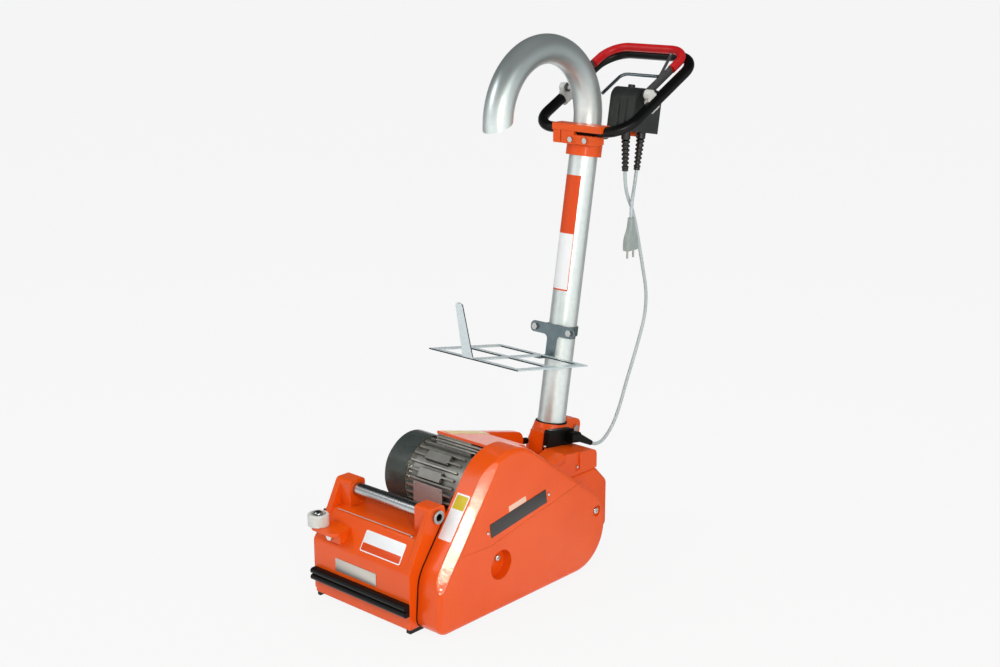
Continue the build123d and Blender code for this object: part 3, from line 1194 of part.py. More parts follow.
PARTS = {
    "drum_housing": drum_housing(),
    "side_door": side_door(),
    "door_pin": door_pin(),
    "door_knob": door_knob(),
    "carry_bar": carry_bar(),
    "front_bumper": front_bumper(),
    "dust_lips": dust_lips(),
    "roller_bracket": roller_bracket(),
    "wall_roller": wall_roller(),
    "drum_core": drum_core(),
    "drum_rubber": drum_rubber(),
    "abrasive_sleeve": abrasive_sleeve(),
    "drum_shaft": rod_x(DRUM_SHAFT_R, DRUM_LEFT + 48, DRUM_BELT_X + 10, DRUM_Y, DRUM_Z),
    "drum_pulley": pulley(DRUM_PULLEY_R, DRUM_SHAFT_R, [DRUM_BELT_X], DRUM_Y, DRUM_Z),
    "side_plate": side_plate(),
    "belt_guard": belt_guard(),
    "guard_screws": guard_screws(),
    "motor_stator": motor_stator(),
    "motor_end_shields": motor_end_shields(),
    "motor_rotor": motor_rotor(),
    "motor_fan": motor_fan(),
    "fan_cowl": fan_cowl(),
    "motor_pulley": pulley(MOTOR_PULLEY_R, MOTOR_SHAFT_R, [DRUM_BELT_X, FAN_BELT_X], MOTOR_Y, MOTOR_Z),
    "ball_bearings": ball_bearings(),
    "drum_belt": belt(DRUM_BELT_X, [MOTOR_WHEEL, DRUM_WHEEL]),
    "fan_belt": belt(FAN_BELT_X, [MOTOR_WHEEL, FAN_WHEEL]),
    "fan_casing": fan_casing(),
    "dust_duct": dust_duct(),
    "fan_impeller": fan_impeller(),
    "fan_shaft": fan_shaft(),
    "fan_pulley": pulley(FAN_PULLEY_R, FAN_SHAFT_R, [FAN_BELT_X], FAN_Y, FAN_Z),
    "wheel_axle": wheel_axle(),
    "wheel_left": wheel(-1),
    "wheel_right": wheel(1),
    "deck_cover": deck_cover(),
    "tube_socket": tube_socket(),
    "connector_box": connector_box(),
    "connector_plug": connector_plug(),
    "guide_tube": guide_tube(),
    "gooseneck": gooseneck(),
    "rack_plate": rack_plate(),
    "rack_bracket": rack_bracket(),
    "rack_strap": rack_strap(),
    "handle_frame": handle_frame(),
    "handle_clamp": handle_clamp(),
    "handle_cap": handle_cap(),
    "clamp_knob": clamp_knob(),
    "bail_bushes": bail_bushes(),
    "bail_legs": bail_legs(),
    "bail_grip": bail_grip(),
    "bail_rod": bail_rod(),
    "switch_box": switch_box(),
    "switch_cover": switch_cover(),
    "lock_button": lock_button(),
    "cord_glands": cord_glands(),
    "motor_cord": motor_cord(),
    "mains_lead": mains_lead(),
    "mains_plug": mains_plug(),
    "plug_pins": plug_pins(),
    "frame_bolts": frame_bolts(),
}

os.makedirs("parts", exist_ok=True)
for name, shape in PARTS.items():
    export_step(shape, f"parts/{name}.step")
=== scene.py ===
import math

import bpy
from mathutils import Matrix, Vector


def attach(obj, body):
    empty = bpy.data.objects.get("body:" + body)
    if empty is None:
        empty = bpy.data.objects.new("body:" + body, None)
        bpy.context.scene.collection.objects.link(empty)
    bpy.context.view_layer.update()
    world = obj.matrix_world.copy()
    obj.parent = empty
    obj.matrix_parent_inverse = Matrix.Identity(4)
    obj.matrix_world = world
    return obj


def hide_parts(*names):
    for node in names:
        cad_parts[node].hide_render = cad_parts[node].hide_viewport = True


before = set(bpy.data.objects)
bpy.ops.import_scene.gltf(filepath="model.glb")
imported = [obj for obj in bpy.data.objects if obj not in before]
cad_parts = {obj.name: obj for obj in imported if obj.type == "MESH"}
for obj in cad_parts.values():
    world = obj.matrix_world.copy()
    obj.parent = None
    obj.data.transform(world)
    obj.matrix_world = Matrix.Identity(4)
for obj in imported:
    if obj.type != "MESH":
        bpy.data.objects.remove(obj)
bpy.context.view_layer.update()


# Drum housing. A sand-cast aluminium hood over the drum, with two ears for the carry bar, and
# the roller's bracket bolted to its slope. All of it is sprayed with one glossy orange enamel.
def srgb(code):
    """A hex colour as the linear values that the shader takes."""
    parts = [int(code[i:i + 2], 16) / 255 for i in (1, 3, 5)]
    return [c / 12.92 if c <= 0.04045 else ((c + 0.055) / 1.055) ** 2.4 for c in parts] + [1.0]


def add(material, kind, sockets=None, **settings):
    """Adds a shader node, sets its options, and sets or links its sockets."""
    node = material.node_tree.nodes.new("ShaderNode" + kind)
    for name, value in settings.items():
        setattr(node, name, value)
    for name, value in (sockets or {}).items():
        if isinstance(value, bpy.types.NodeSocket):
            material.node_tree.links.new(value, node.inputs[name])
        else:
            node.inputs[name].default_value = value
    return node


def start_material(name):
    """A new material without nodes, and the place on the piece in metres."""
    material = bpy.data.materials.new(name)
    material.use_nodes = True
    material.node_tree.nodes.clear()
    return material, add(material, "TexCoord").outputs["Object"]


def noise(material, place, grain=1.0, detail=2.0):
    """A soft random pattern, its clouds about a grain wide in metres."""
    sockets = {"Vector": place, "Scale": 1 / grain, "Detail": detail}
    return add(material, "TexNoise", sockets).outputs["Fac"]


def spread(material, value, start=0.0, stop=1.0, low=0.0, high=1.0):
    """Maps a value that runs from start to stop on to the span from low to high."""
    sockets = {"Value": value, 1: start, 2: stop, 3: low, 4: high}
    return add(material, "MapRange", sockets).outputs["Result"]


def mix(material, share, first, second):
    """Mixes two colours, each of them a hex code, linear values or another node's output."""
    first, second = (srgb(c) if isinstance(c, str) else c for c in (first, second))
    return add(material, "Mix", {0: share, 6: first, 7: second}, data_type="RGBA").outputs[2]


def dot(material, first, second):
    """How far two directions agree, from -1 to 1 where both have unit length."""
    sockets = {0: first, 1: second}
    return add(material, "VectorMath", sockets, operation="DOT_PRODUCT").outputs["Value"]


def round_edge(material, radius, samples=4):
    """Normals that turn gently over an edge, as if it were broken by this radius."""
    return add(material, "Bevel", {"Radius": radius}, samples=samples).outputs["Normal"]


def flatness(material, edge):
    """1 on a flat face, and less where a rounded edge turns away from it."""
    return dot(material, edge, add(material, "NewGeometry").outputs["Normal"])


def bump(material, height, strength, depth, edge=None):
    """Normals of a low relief, laid over the rounded edges where these are given."""
    sockets = {"Strength": strength, "Distance": depth, "Height": height}
    if edge is not None:
        sockets["Normal"] = edge
    return add(material, "Bump", sockets).outputs["Normal"]


def surface(material, sockets):
    """Ends a material with its one shader."""
    shader = add(material, "BsdfPrincipled", sockets)
    add(material, "OutputMaterial", {"Surface": shader.outputs["BSDF"]})


def dress(material, *nodes):
    """Gives CAD nodes their finish."""
    for name in nodes:
        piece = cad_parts[name]
        if not piece.material_slots:
            piece.data.materials.append(material)
        for material_slot in piece.material_slots:
            material_slot.material = material


# Sprayed enamel over a sand casting: a gentle swell every 6 mm, drifts of tone a hand wide, and
# paler orange on the rounded edges, part rubbed paint and part painted highlight. A clear top
# layer with a fine peel gives the sharp gloss.
orange_enamel, place = start_material("orange_enamel_on_cast_aluminium")
tone = mix(orange_enamel, noise(orange_enamel, place, grain=0.09), "#de4a02", "#ea5a08")
edge = round_edge(orange_enamel, radius=0.0016, samples=6)
# Paler orange over the rounded edges: rubbed paint together with a painted highlight.
rub_and_glint = spread(orange_enamel, flatness(orange_enamel, edge), start=0.995, stop=0.80, high=0.3)
swell = noise(orange_enamel, place, grain=0.006)
peel = noise(orange_enamel, place, grain=0.0045)
surface(orange_enamel, {
    "Base Color": mix(orange_enamel, rub_and_glint, tone, "#f58a50"),
    "Roughness": 0.36, "IOR": 1.5, "Specular IOR Level": 0.2,
    "Normal": bump(orange_enamel, swell, strength=0.16, depth=0.0006, edge=edge),
    "Coat Weight": spread(orange_enamel, peel, start=0.42, stop=0.62, low=0.22, high=0.42),
    "Coat Roughness": 0.06,
    "Coat Normal": bump(orange_enamel, peel, strength=0.35, depth=0.0006, edge=edge)})
dress(orange_enamel, "drum_housing", "roller_bracket", "side_plate", "dust_duct")


# Seam of the hood's lid: a thin bead of grey sealant along the crest, with a rivet at its end.
# It is a trim piece, proud of the enamel by little more than half a millimetre.
def name_new(name):
    """Names the piece that was just added."""
    piece = bpy.context.object
    piece.name = name
    return piece


def apply_modifier(piece, kind, **settings):
    """Adds a modifier to a piece and applies it."""
    modifier = piece.modifiers.new(kind.title(), kind)
    for name, value in settings.items():
        setattr(modifier, name, value)
    bpy.context.view_layer.objects.active = piece
    bpy.ops.object.modifier_apply(modifier=modifier.name)


def finish_piece(piece, material, body="machine"):
    """Puts a new piece's place in its mesh, gives it its finish and lets it ride on a body."""
    bpy.ops.object.select_all(action="DESELECT")
    piece.select_set(True)
    bpy.context.view_layer.objects.active = piece
    bpy.ops.object.transform_apply(location=True, rotation=True, scale=True)
    bpy.ops.object.shade_smooth_by_angle(angle=math.radians(35))
    piece.data.materials.append(material)
    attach(piece, body)


def plate(name, wide, high, thick, corner, spot, across, out):
    """A thin plate with round corners, its back on a spot, its width across and its face out."""
    bpy.ops.mesh.primitive_plane_add(size=1, rotation=(math.pi / 2, 0, 0))
    piece = name_new(name)
    piece.scale = (wide, high, 1)
    bpy.ops.object.transform_apply(location=True, rotation=True, scale=True)
    bpy.ops.object.mode_set(mode="EDIT")
    bpy.ops.mesh.select_all(action="SELECT")
    bpy.ops.mesh.bevel(offset=corner, offset_type="OFFSET", segments=5, affect="VERTICES")
    bpy.ops.object.mode_set(mode="OBJECT")
    apply_modifier(piece, "SOLIDIFY", thickness=thick, offset=1.0)
    apply_modifier(piece, "BEVEL", width=thick * 0.3, segments=2, limit_method="ANGLE",
                   angle_limit=math.radians(60))
    x = Vector(across).normalized()
    y = -Vector(out).normalized()
    z = x.cross(y).normalized()
    turn = Matrix((x, y, z)).transposed().to_4x4()
    piece.matrix_world = Matrix.Translation(spot) @ turn
    return piece


def rivet(name, metal, radius, spot, out, body="machine"):
    """A low domed rivet head on a spot."""
    low_dome = (1, 1, 0.55)
    bpy.ops.mesh.primitive_uv_sphere_add(segments=20, ring_count=10, radius=radius)
    piece = name_new(name)
    bpy.ops.object.mode_set(mode="EDIT")
    bpy.ops.mesh.select_all(action="SELECT")
    bpy.ops.mesh.bisect(plane_co=(0, 0, 0), plane_no=(0, 0, 1), clear_inner=True, use_fill=True)
    bpy.ops.mesh.select_all(action="SELECT")
    bpy.ops.transform.resize(value=low_dome)
    bpy.ops.object.mode_set(mode="OBJECT")
    turn = Vector(out).to_track_quat("Z", "Y").to_matrix().to_4x4()
    piece.matrix_world = Matrix.Translation(spot) @ turn
    finish_piece(piece, metal, body)


# Zinc-plated steel fasteners: a bright metal with a faint cloud of duller plating every 4 mm.
zinc_bolt, place = start_material("zinc_plated_fastener")
cloud = noise(zinc_bolt, place, grain=0.004, detail=3.0)
surface(zinc_bolt, {
    "Base Color": srgb("#c9cbc8"), "Metallic": 1.0,
    "Roughness": spread(zinc_bolt, cloud, low=0.22, high=0.40),
    "Normal": round_edge(zinc_bolt, radius=0.0006)})

# Grey sealant: matt, a little uneven every 3 mm.
seam_grey, place = start_material("grey_sealant_bead")
lumps = noise(seam_grey, place, grain=0.003)
surface(seam_grey, {
    "Base Color": srgb("#a9a39c"), "Roughness": 0.6,
    "Normal": bump(seam_grey, lumps, strength=0.3, depth=0.0003)})

rightward, crest_out = (1, 0, 0), (0, -0.5, 0.866)
bead = plate("lid_seam", wide=0.195, high=0.0016, thick=0.0006, corner=0.0006,
             spot=(-0.018, -0.3595, 0.1692), across=rightward, out=crest_out)
finish_piece(bead, seam_grey)
rivet("lid_seam_rivet", zinc_bolt, radius=0.0028, spot=(0.080, -0.3605, 0.1684), out=crest_out)


# Bare signs of the housing: a vinyl label on the slope with a pale field over an orange field,
# and a rolled aluminium plate above the bumper. Both are blank.
def vinyl(name, colour):
    """Printed vinyl film: a smooth satin skin, lifted a little every 8 mm where it is stuck."""
    material, where = start_material(name)
    lift = noise(material, where, grain=0.008)
    shaded = [c * 0.94 for c in srgb(colour)]
    surface(material, {
        "Base Color": mix(material, lift, colour, shaded),
        "Roughness": 0.38, "Specular IOR Level": 0.3,
        "Normal": bump(material, lift, strength=0.06, depth=0.0005)})
    return material


def draw_out(material, place, *grains):
    """Stretches a pattern, so that its clouds have another width along each axis."""
    sockets = {"Vector": place, "Scale": [1 / grain for grain in grains]}
    return add(material, "Mapping", sockets).outputs["Vector"]


white_vinyl = vinyl("white_vinyl_film", "#f0f4f8")
orange_vinyl = vinyl("orange_vinyl_film", "#dc4a12")
film, ink = 0.0003, 0.0001

slope_low, slope_high = Vector((0, -0.3935, 0.112)), Vector((0, -0.3605, 0.168))
slope_up = (slope_high - slope_low).normalized()
slope_out = Vector((0, -slope_up.z, slope_up.y))
label_x, label_rise, field_drop = 0.024, 0.030, 0.0105
label_mid = slope_low + slope_up * label_rise + Vector((label_x, 0, 0))
label = plate("slope_label", wide=0.102, high=0.039, thick=film, corner=0.003,
              spot=label_mid, across=rightward, out=slope_out)
finish_piece(label, white_vinyl)
field = plate("slope_label_field", wide=0.098, high=0.014, thick=ink, corner=0.0015,
              spot=label_mid - slope_up * field_drop + slope_out * film,
              across=rightward, out=slope_out)
finish_piece(field, orange_vinyl)

# Rolled aluminium: fine lines along the roll, drawn 0.6 mm apart so that they show.
rolled_plate, place = start_material("rolled_aluminium_plate")
lines = noise(rolled_plate, draw_out(rolled_plate, place, 0.05, 0.05, 0.0006))
surface(rolled_plate, {
    "Base Color": srgb("#bcb7af"), "Metallic": 1.0,
    "Roughness": spread(rolled_plate, lines, low=0.28, high=0.46)})
frontward = (0, -1, 0)
sign = plate("housing_plate", wide=0.107, high=0.025, thick=0.0009, corner=0.002,
             spot=(-0.0325, -0.3935, 0.0785), across=rightward, out=frontward)
finish_piece(sign, rolled_plate)


# Side door of the housing, with its pin and thumb screw: a flat plate in the same orange, hung
# on a steel pin. It opens to change the abrasive sleeve.
dress(orange_enamel, "side_door")

# Ground steel: bright, with turning marks 0.5 mm apart round the bar.
ground_steel, place = start_material("ground_steel_bar")
rings = noise(ground_steel, draw_out(ground_steel, place, 0.0005, 0.03, 0.03))
surface(ground_steel, {
    "Base Color": srgb("#b4b7b8"), "Metallic": 1.0,
    "Roughness": spread(ground_steel, rings, low=0.16, high=0.34),
    "Normal": round_edge(ground_steel, radius=0.0008)})
dress(ground_steel, "door_pin")

# Black moulded plastic: a spark-eroded grain about 0.8 mm wide, drawn coarse enough to show.
black_plastic, place = start_material("black_moulded_abs")
grain = noise(black_plastic, place, grain=0.0008)
edge = round_edge(black_plastic, radius=0.0012)
patch = noise(black_plastic, place, grain=0.03)
surface(black_plastic, {
    "Base Color": mix(black_plastic, patch, "#222625", "#333736"),
    "Roughness": 0.42, "Specular IOR Level": 0.3,
    "Normal": bump(black_plastic, grain, strength=0.16, depth=0.0002, edge=edge)})
dress(black_plastic, "door_knob")


# Carry bar: a thick steel tube held in the two ears, its open end showing on the right. The
# machine is lifted by it.
dress(ground_steel, "carry_bar")


# Front bumper and dust lips: extruded black rubber, two round ribs on a flat back, and the
# strips that close the gap to the floor.
black_rubber, place = start_material("black_extruded_rubber")
# Streaks from the die, 1.2 mm apart, take a little dust and break up the dull shine.
streak = noise(black_rubber, draw_out(black_rubber, place, 0.06, 0.0012, 0.0012))
surface(black_rubber, {
    "Base Color": mix(black_rubber, streak, "#040404", "#0d0d0c"),
    "Roughness": 0.45, "Specular IOR Level": 0.18,
    "Normal": bump(black_rubber, streak, strength=0.12, depth=0.0003)})
dress(black_rubber, "front_bumper", "dust_lips")


# Wall roller: a turned white nylon wheel on an upright bolt, which keeps the housing off a wall.
# A bright cap covers the bolt's head.
white_nylon, place = start_material("white_turned_nylon")
# Milky, with edges that let some light through, and soiled in clouds 12 mm wide.
soil = noise(white_nylon, place, grain=0.012, detail=4.0)
surface(white_nylon, {
    "Base Color": mix(white_nylon, soil, "#dee0de", "#c3c4c0"),
    "Roughness": 0.38, "IOR": 1.53, "Subsurface Weight": 0.08,
    "Subsurface Radius": (0.004, 0.004, 0.003), "Subsurface Scale": 0.5,
    "Normal": round_edge(white_nylon, radius=0.001)})
dress(white_nylon, "wall_roller")
upward = (0, 0, 1)
rivet("roller_bolt_cap", ground_steel, radius=0.0088, spot=(-0.118, -0.404, 0.1704), out=upward)


# Drum: a turned aluminium core with a vulcanised rubber cover, and a sleeve of brown abrasive
# cloth pushed over it.
bare_aluminium, place = start_material("turned_aluminium")
# Pale metal with tool marks 0.8 mm apart along the axle.
cut = noise(bare_aluminium, draw_out(bare_aluminium, place, 0.0008, 0.05, 0.05))
surface(bare_aluminium, {
    "Base Color": srgb("#c3c5c6"), "Metallic": 1.0,
    "Roughness": spread(bare_aluminium, cut, low=0.26, high=0.44)})
dress(bare_aluminium, "drum_core", "drum_pulley", "motor_pulley", "fan_pulley", "fan_impeller")
dress(ground_steel, "drum_shaft")

# Vulcanised rubber: matt dark grey, with a paler bloom in patches 20 mm wide.
grey_rubber, place = start_material("grey_vulcanised_rubber")
bloom = noise(grey_rubber, place, grain=0.02, detail=3.0)
surface(grey_rubber, {
    "Base Color": mix(grey_rubber, bloom, "#3a3a3c", "#565658"), "Roughness": 0.62})
dress(grey_rubber, "drum_rubber", "wheel_left", "wheel_right")

# Abrasive cloth: coarse grit in cells of 1.4 mm, each grain a little lighter or darker.
abrasive_cloth, place = start_material("brown_abrasive_cloth")
grit_wide = 0.0014
grit = add(abrasive_cloth, "TexVoronoi", {"Vector": place, "Scale": 1 / grit_wide})
grit = grit.outputs["Distance"]
surface(abrasive_cloth, {
    "Base Color": mix(abrasive_cloth, grit, "#7a5236", "#4a2f1d"), "Roughness": 0.8,
    "Normal": bump(abrasive_cloth, grit, strength=0.7, depth=0.0005)})
dress(abrasive_cloth, "abrasive_sleeve")


# Motor: a finned die-cast frame in grey paint, bright along the fins with chips and painted
# glints, end shields, and a black pressed cowl over the cooling fan. Rotor, shaft and bearings are
# inside.
def maths(material, operation, first, second=0.5):
    """One step of arithmetic on one or two values."""
    return add(material, "Math", {0: first, 1: second}, operation=operation).outputs[0]


def block(name, middle, size):
    """A plain block, its size and place in its mesh."""
    bpy.ops.mesh.primitive_cube_add(size=1, location=middle)
    piece = name_new(name)
    piece.scale = size
    bpy.ops.object.transform_apply(location=True, rotation=True, scale=True)
    return piece


# Grey paint: clouded every 20 mm, rough like the casting, bright along the edges with chips and
# painted glints, and darkened in the gaps between the fins with painted shade.
motor_grey, place = start_material("grey_paint_on_die_casting")
skin = noise(motor_grey, place, grain=0.0025, detail=3.0)
shade = noise(motor_grey, place, grain=0.02, detail=3.0)
grey_tone = mix(motor_grey, shade, "#858681", "#a6a6a0")
edge = round_edge(motor_grey, radius=0.0008)
# Bright spots on the edges: paint chips together with painted glints.
chips = spread(motor_grey, noise(motor_grey, place, grain=0.007), start=0.50, stop=0.56)
rub_and_glint = spread(motor_grey, flatness(motor_grey, edge), start=0.99, stop=0.85)
rub_and_glint = maths(motor_grey, "MULTIPLY", rub_and_glint, chips)
chips_and_glints = mix(motor_grey, rub_and_glint, grey_tone, "#f4f4f2")
# Painted shade: the gaps between the fins turn dark grey where ambient occlusion finds them
# enclosed.
gap = add(motor_grey, "AmbientOcclusion", {"Distance": 0.014}, samples=8, only_local=True)
painted_gap_shade = spread(motor_grey, gap.outputs["AO"], start=0.66, stop=0.28)
surface(motor_grey, {
    "Base Color": mix(motor_grey, painted_gap_shade, chips_and_glints, "#3a3b39"), "Metallic": 0.5, "Roughness": 0.36,
    "Normal": bump(motor_grey, skin, strength=0.25, depth=0.0004, edge=edge)})
dress(motor_grey, "motor_stator", "motor_end_shields")

# Ribs on the front of the motor's terminal box. They carry the fins on up to the deck.
rib_x, rib_y, rib_heights = 0.0425, -0.1955, (0.2785, 0.2845, 0.2905)
for i, height in enumerate(rib_heights):
    rib = block(f"terminal_rib_{i}", (rib_x, rib_y, height), (0.120, 0.0052, 0.0032))
    apply_modifier(rib, "BEVEL", width=0.0007, segments=2)
    finish_piece(rib, motor_grey)

# Gloss paint of the cowl: black gone grey-green with dust, which dulls it in patches.
black_paint, place = start_material("black_gloss_paint_on_steel")
dust = noise(black_paint, place, grain=0.025, detail=3.0)
surface(black_paint, {
    "Base Color": mix(black_paint, dust, "#323937", "#444c49"),
    "Roughness": spread(black_paint, dust, low=0.20, high=0.34), "Specular IOR Level": 0.4,
    "Normal": round_edge(black_paint, radius=0.003)})
dress(black_paint, "fan_cowl")
dress(black_plastic, "motor_fan")

# Stacked core plates, 0.8 mm each, drawn as thin rings along the shaft.
core_plates, place = start_material("stacked_core_plates")
stack = draw_out(core_plates, place, 0.0016, 1.0, 1.0)
layers = add(core_plates, "TexWave", {"Vector": stack, "Scale": 1.0}, bands_direction="X")
surface(core_plates, {
    "Base Color": mix(core_plates, layers.outputs["Fac"], "#5a5a5c", "#8a8a8c"),
    "Metallic": 1.0, "Roughness": 0.4})
dress(core_plates, "motor_rotor")
dress(ground_steel, "ball_bearings")

# Through bolts of the motor: three of their bright heads show between the fins beside the cowl.
motor_mid, bolt_reach, bolt_turns = Vector((-0.040, -0.1795, 0.205)), 0.0700, (62, 70, 78)
for i, turn in enumerate(bolt_turns):
    out = Vector((0, -math.sin(math.radians(turn)), math.cos(math.radians(turn))))
    rivet(f"motor_bolt_{i}", zinc_bolt, radius=0.0026, spot=motor_mid + out * bolt_reach, out=out)

# Rating plate of the motor: a bare tin-grey plate with a faint rose cast, riveted to the fins.
tin_plate, place = start_material("bare_tinned_plate")
stain = noise(tin_plate, place, grain=0.006, detail=4.0)
surface(tin_plate, {
    "Base Color": mix(tin_plate, stain, "#b3a2a0", "#968886"), "Metallic": 0.2, "Roughness": 0.5})
rating_back, rating_front = -0.2500, -0.2508
rating = plate("motor_plate", wide=0.074, high=0.040, thick=0.0008, corner=0.002,
               spot=(0.010, rating_back, 0.196), across=rightward, out=frontward)
finish_piece(rating, tin_plate)
rating_corners = ((-0.023, 0.212), (0.043, 0.212), (-0.023, 0.180), (0.043, 0.180))
for i, (x, z) in enumerate(rating_corners):
    rivet(f"motor_plate_rivet_{i}", zinc_bolt, radius=0.0018, spot=(x, rating_front, z),
          out=frontward)


# Belts: two loops of moulded black rubber with a matt fabric skin. They run under the guard,
# from the motor to the drum and to the fan.
dress(black_rubber, "drum_belt", "fan_belt")


# Belt guard: one large orange casting over both belts, held by two screws. A dark blank plate is
# riveted across its face, and two blank labels are stuck on it.
dress(orange_enamel, "belt_guard")
dress(zinc_bolt, "guard_screws")

# Anodised plate: near black with a dull sheen, and faint rolling lines 1 mm apart.
dark_plate_finish, place = start_material("black_anodised_plate")
rolling = noise(dark_plate_finish, draw_out(dark_plate_finish, place, 0.001, 0.04, 0.001))
surface(dark_plate_finish, {
    "Base Color": mix(dark_plate_finish, rolling, "#2b2a2a", "#434141"),
    "Metallic": 0.4, "Roughness": 0.45})

guard_face = 0.160
plate_low, plate_high = Vector((guard_face, -0.245, 0.1640)), Vector((guard_face, -0.091, 0.1885))
plate_mid = (plate_low + plate_high) / 2
plate_along = (plate_high - plate_low).normalized()
rivet_reach = 0.006
number_plate = plate("guard_plate", wide=0.154, high=0.027, thick=0.0008, corner=0.001,
                     spot=plate_mid, across=plate_along, out=rightward)
finish_piece(number_plate, dark_plate_finish)
rivet_spots = plate_low - plate_along * rivet_reach, plate_high + plate_along * rivet_reach
for i, spot in enumerate(rivet_spots):
    rivet(f"guard_plate_rivet_{i}", zinc_bolt, radius=0.0032, spot=spot, out=rightward)

small_shift, small_rise = -0.004, Vector((0, 0, 0.0200))
small_label = plate("guard_small_label", wide=0.047, high=0.011, thick=film, corner=0.001,
                    spot=plate_mid + plate_along * small_shift + small_rise,
                    across=plate_along, out=rightward)
pale_vinyl = vinyl("pale_pink_vinyl_film", "#f0c9b4")
finish_piece(small_label, pale_vinyl)

rim_out, rim_up = Vector((0, -0.8106, 0.5858)), Vector((0, 0.5858, 0.8106))
rim_mid, rim_field_rise = Vector((0.1266, -0.3017, 0.1998)), 0.0275
rim_label = plate("guard_rim_label", wide=0.031, high=0.0875, thick=film, corner=0.002,
                  spot=rim_mid, across=rightward, out=rim_out)
finish_piece(rim_label, white_vinyl)
yellow_vinyl = vinyl("yellow_vinyl_film", "#d2bd2a")
rim_field = plate("guard_rim_label_field", wide=0.027, high=0.026, thick=ink, corner=0.001,
                  spot=rim_mid + rim_up * rim_field_rise + rim_out * film,
                  across=rightward, out=rim_out)
finish_piece(rim_field, yellow_vinyl)

# Joint of guard and housing: a black strip laid as painted shade in the gap between them. It
# follows the guard's front edge, from its low corner round the drum's lobe and up the slope.
strip_x, strip_wide, strip_climb = 0.1060, 0.0022, 0.090
corner_mid, corner_round = (strip_x, -0.3530, 0.0265), 0.0240
drum_mid, drum_round = (strip_x, -0.3015, 0.0780), 0.0715
drum_reach = Vector(drum_mid) - Vector(corner_mid)
strip_start, slope_turn = math.radians(238), math.radians(144.15)
strip_turn = (math.atan2(drum_reach.z, drum_reach.y)
              + math.acos((corner_round - drum_round) / drum_reach.length))
strip_rise = math.sqrt(drum_reach.length ** 2 - (corner_round - drum_round) ** 2)
bpy.ops.mesh.primitive_plane_add(size=strip_wide, rotation=(strip_start, 0, 0), location=(
    strip_x, corner_mid[1] + corner_round * math.cos(strip_start),
    corner_mid[2] + corner_round * math.sin(strip_start)))
gap_shade_strip = name_new("guard_gap_shade_strip")
bpy.ops.object.transform_apply(location=True, rotation=True, scale=True)
bpy.ops.object.mode_set(mode="EDIT")
bpy.ops.mesh.select_all(action="SELECT")
# A spin turns against these angles, so each takes the start less the stop.
for mid, start, stop, run in ((corner_mid, strip_start, strip_turn, strip_rise),
                              (drum_mid, strip_turn, slope_turn, strip_climb)):
    bpy.ops.mesh.spin(steps=8, angle=start - stop, center=mid, axis=(1, 0, 0))
    bpy.ops.mesh.extrude_region_move(TRANSFORM_OT_translate={
        "value": (0, run * math.sin(stop), -run * math.cos(stop))})
bpy.ops.mesh.select_all(action="SELECT")
bpy.ops.mesh.normals_make_consistent(inside=False)
bpy.ops.object.mode_set(mode="OBJECT")
finish_piece(gap_shade_strip, black_rubber)

# The casting's crease: a low ridge that runs back across the guard's face.
crease_line = ((-0.3260, 0.1395), (-0.2455, 0.135), (0.0095, 0.186))
crease = [Vector((guard_face, y, z)) for y, z in crease_line]
for i, (start, stop) in enumerate(zip(crease, crease[1:])):
    ridge = plate(f"guard_crease_{i}", wide=(stop - start).length, high=0.0014, thick=0.0005,
                  corner=0.0005, spot=(start + stop) / 2, across=stop - start, out=rightward)
    finish_piece(ridge, orange_enamel)


# Fan casing: a cast orange box behind the drum that holds the dust fan, the axle and the wheels.
# The fan's shaft and the axle are ground steel.
dress(orange_enamel, "fan_casing")
dress(ground_steel, "fan_shaft", "wheel_axle")


# Deck cover: the orange casting that slopes back over the motor, with a blank cream label along
# its left edge. A wedge leads from its low step up to the block beside the socket.
dress(orange_enamel, "deck_cover")
fairing_low, fairing_high = Vector((0.0525, -0.030, 0.2045)), Vector((0.1046, 0.0295, 0.2215))
fairing_lip = 0.001
fairing = block("deck_fairing", (fairing_low + fairing_high) / 2, fairing_high - fairing_low)
bpy.ops.object.mode_set(mode="EDIT")
bpy.ops.mesh.select_all(action="SELECT")
bpy.ops.mesh.bisect(plane_co=fairing_high, clear_outer=True, use_fill=True, plane_no=(
    0, fairing_low.z - fairing_high.z + fairing_lip, fairing_high.y - fairing_low.y))
bpy.ops.object.mode_set(mode="OBJECT")
apply_modifier(fairing, "BEVEL", width=0.0012, segments=2)
finish_piece(fairing, orange_enamel)

for name, spot, out in (("socket_screw", (0.0455, 0.0375, 0.2225), (0.6, -0.8, 0)),
                        ("groove_screw", (0.1052, 0.0650, 0.1880), rightward)):
    rivet(name, zinc_bolt, radius=0.0032, spot=spot, out=out)

cream_vinyl = vinyl("cream_vinyl_film", "#f3d9a6")
deck_front_y, deck_front_z, deck_rear_y, deck_rear_z = -0.1945, 0.300, 0.031, 0.2427
deck_slope = (deck_rear_z - deck_front_z) / (deck_rear_y - deck_front_y)
cream_x, cream_y = -0.0035, -0.1325
cream_z = deck_front_z + deck_slope * (cream_y - deck_front_y)
deck_label = plate("deck_label", wide=0.106, high=0.028, thick=film, corner=0.002,
                   spot=(cream_x, cream_y, cream_z), across=(0, 1, deck_slope),
                   out=(0, -deck_slope, 1))
finish_piece(deck_label, cream_vinyl)

bpy.ops.mesh.primitive_cylinder_add(vertices=32, radius=0.0065, depth=0.019,
                                    location=(-0.012, 0.0405, 0.220),
                                    rotation=(math.radians(-100), 0, 0))
grommet = name_new("deck_grommet")
apply_modifier(grommet, "BEVEL", width=0.0018, segments=3, limit_method="ANGLE",
               angle_limit=math.radians(40))
finish_piece(grommet, black_rubber)


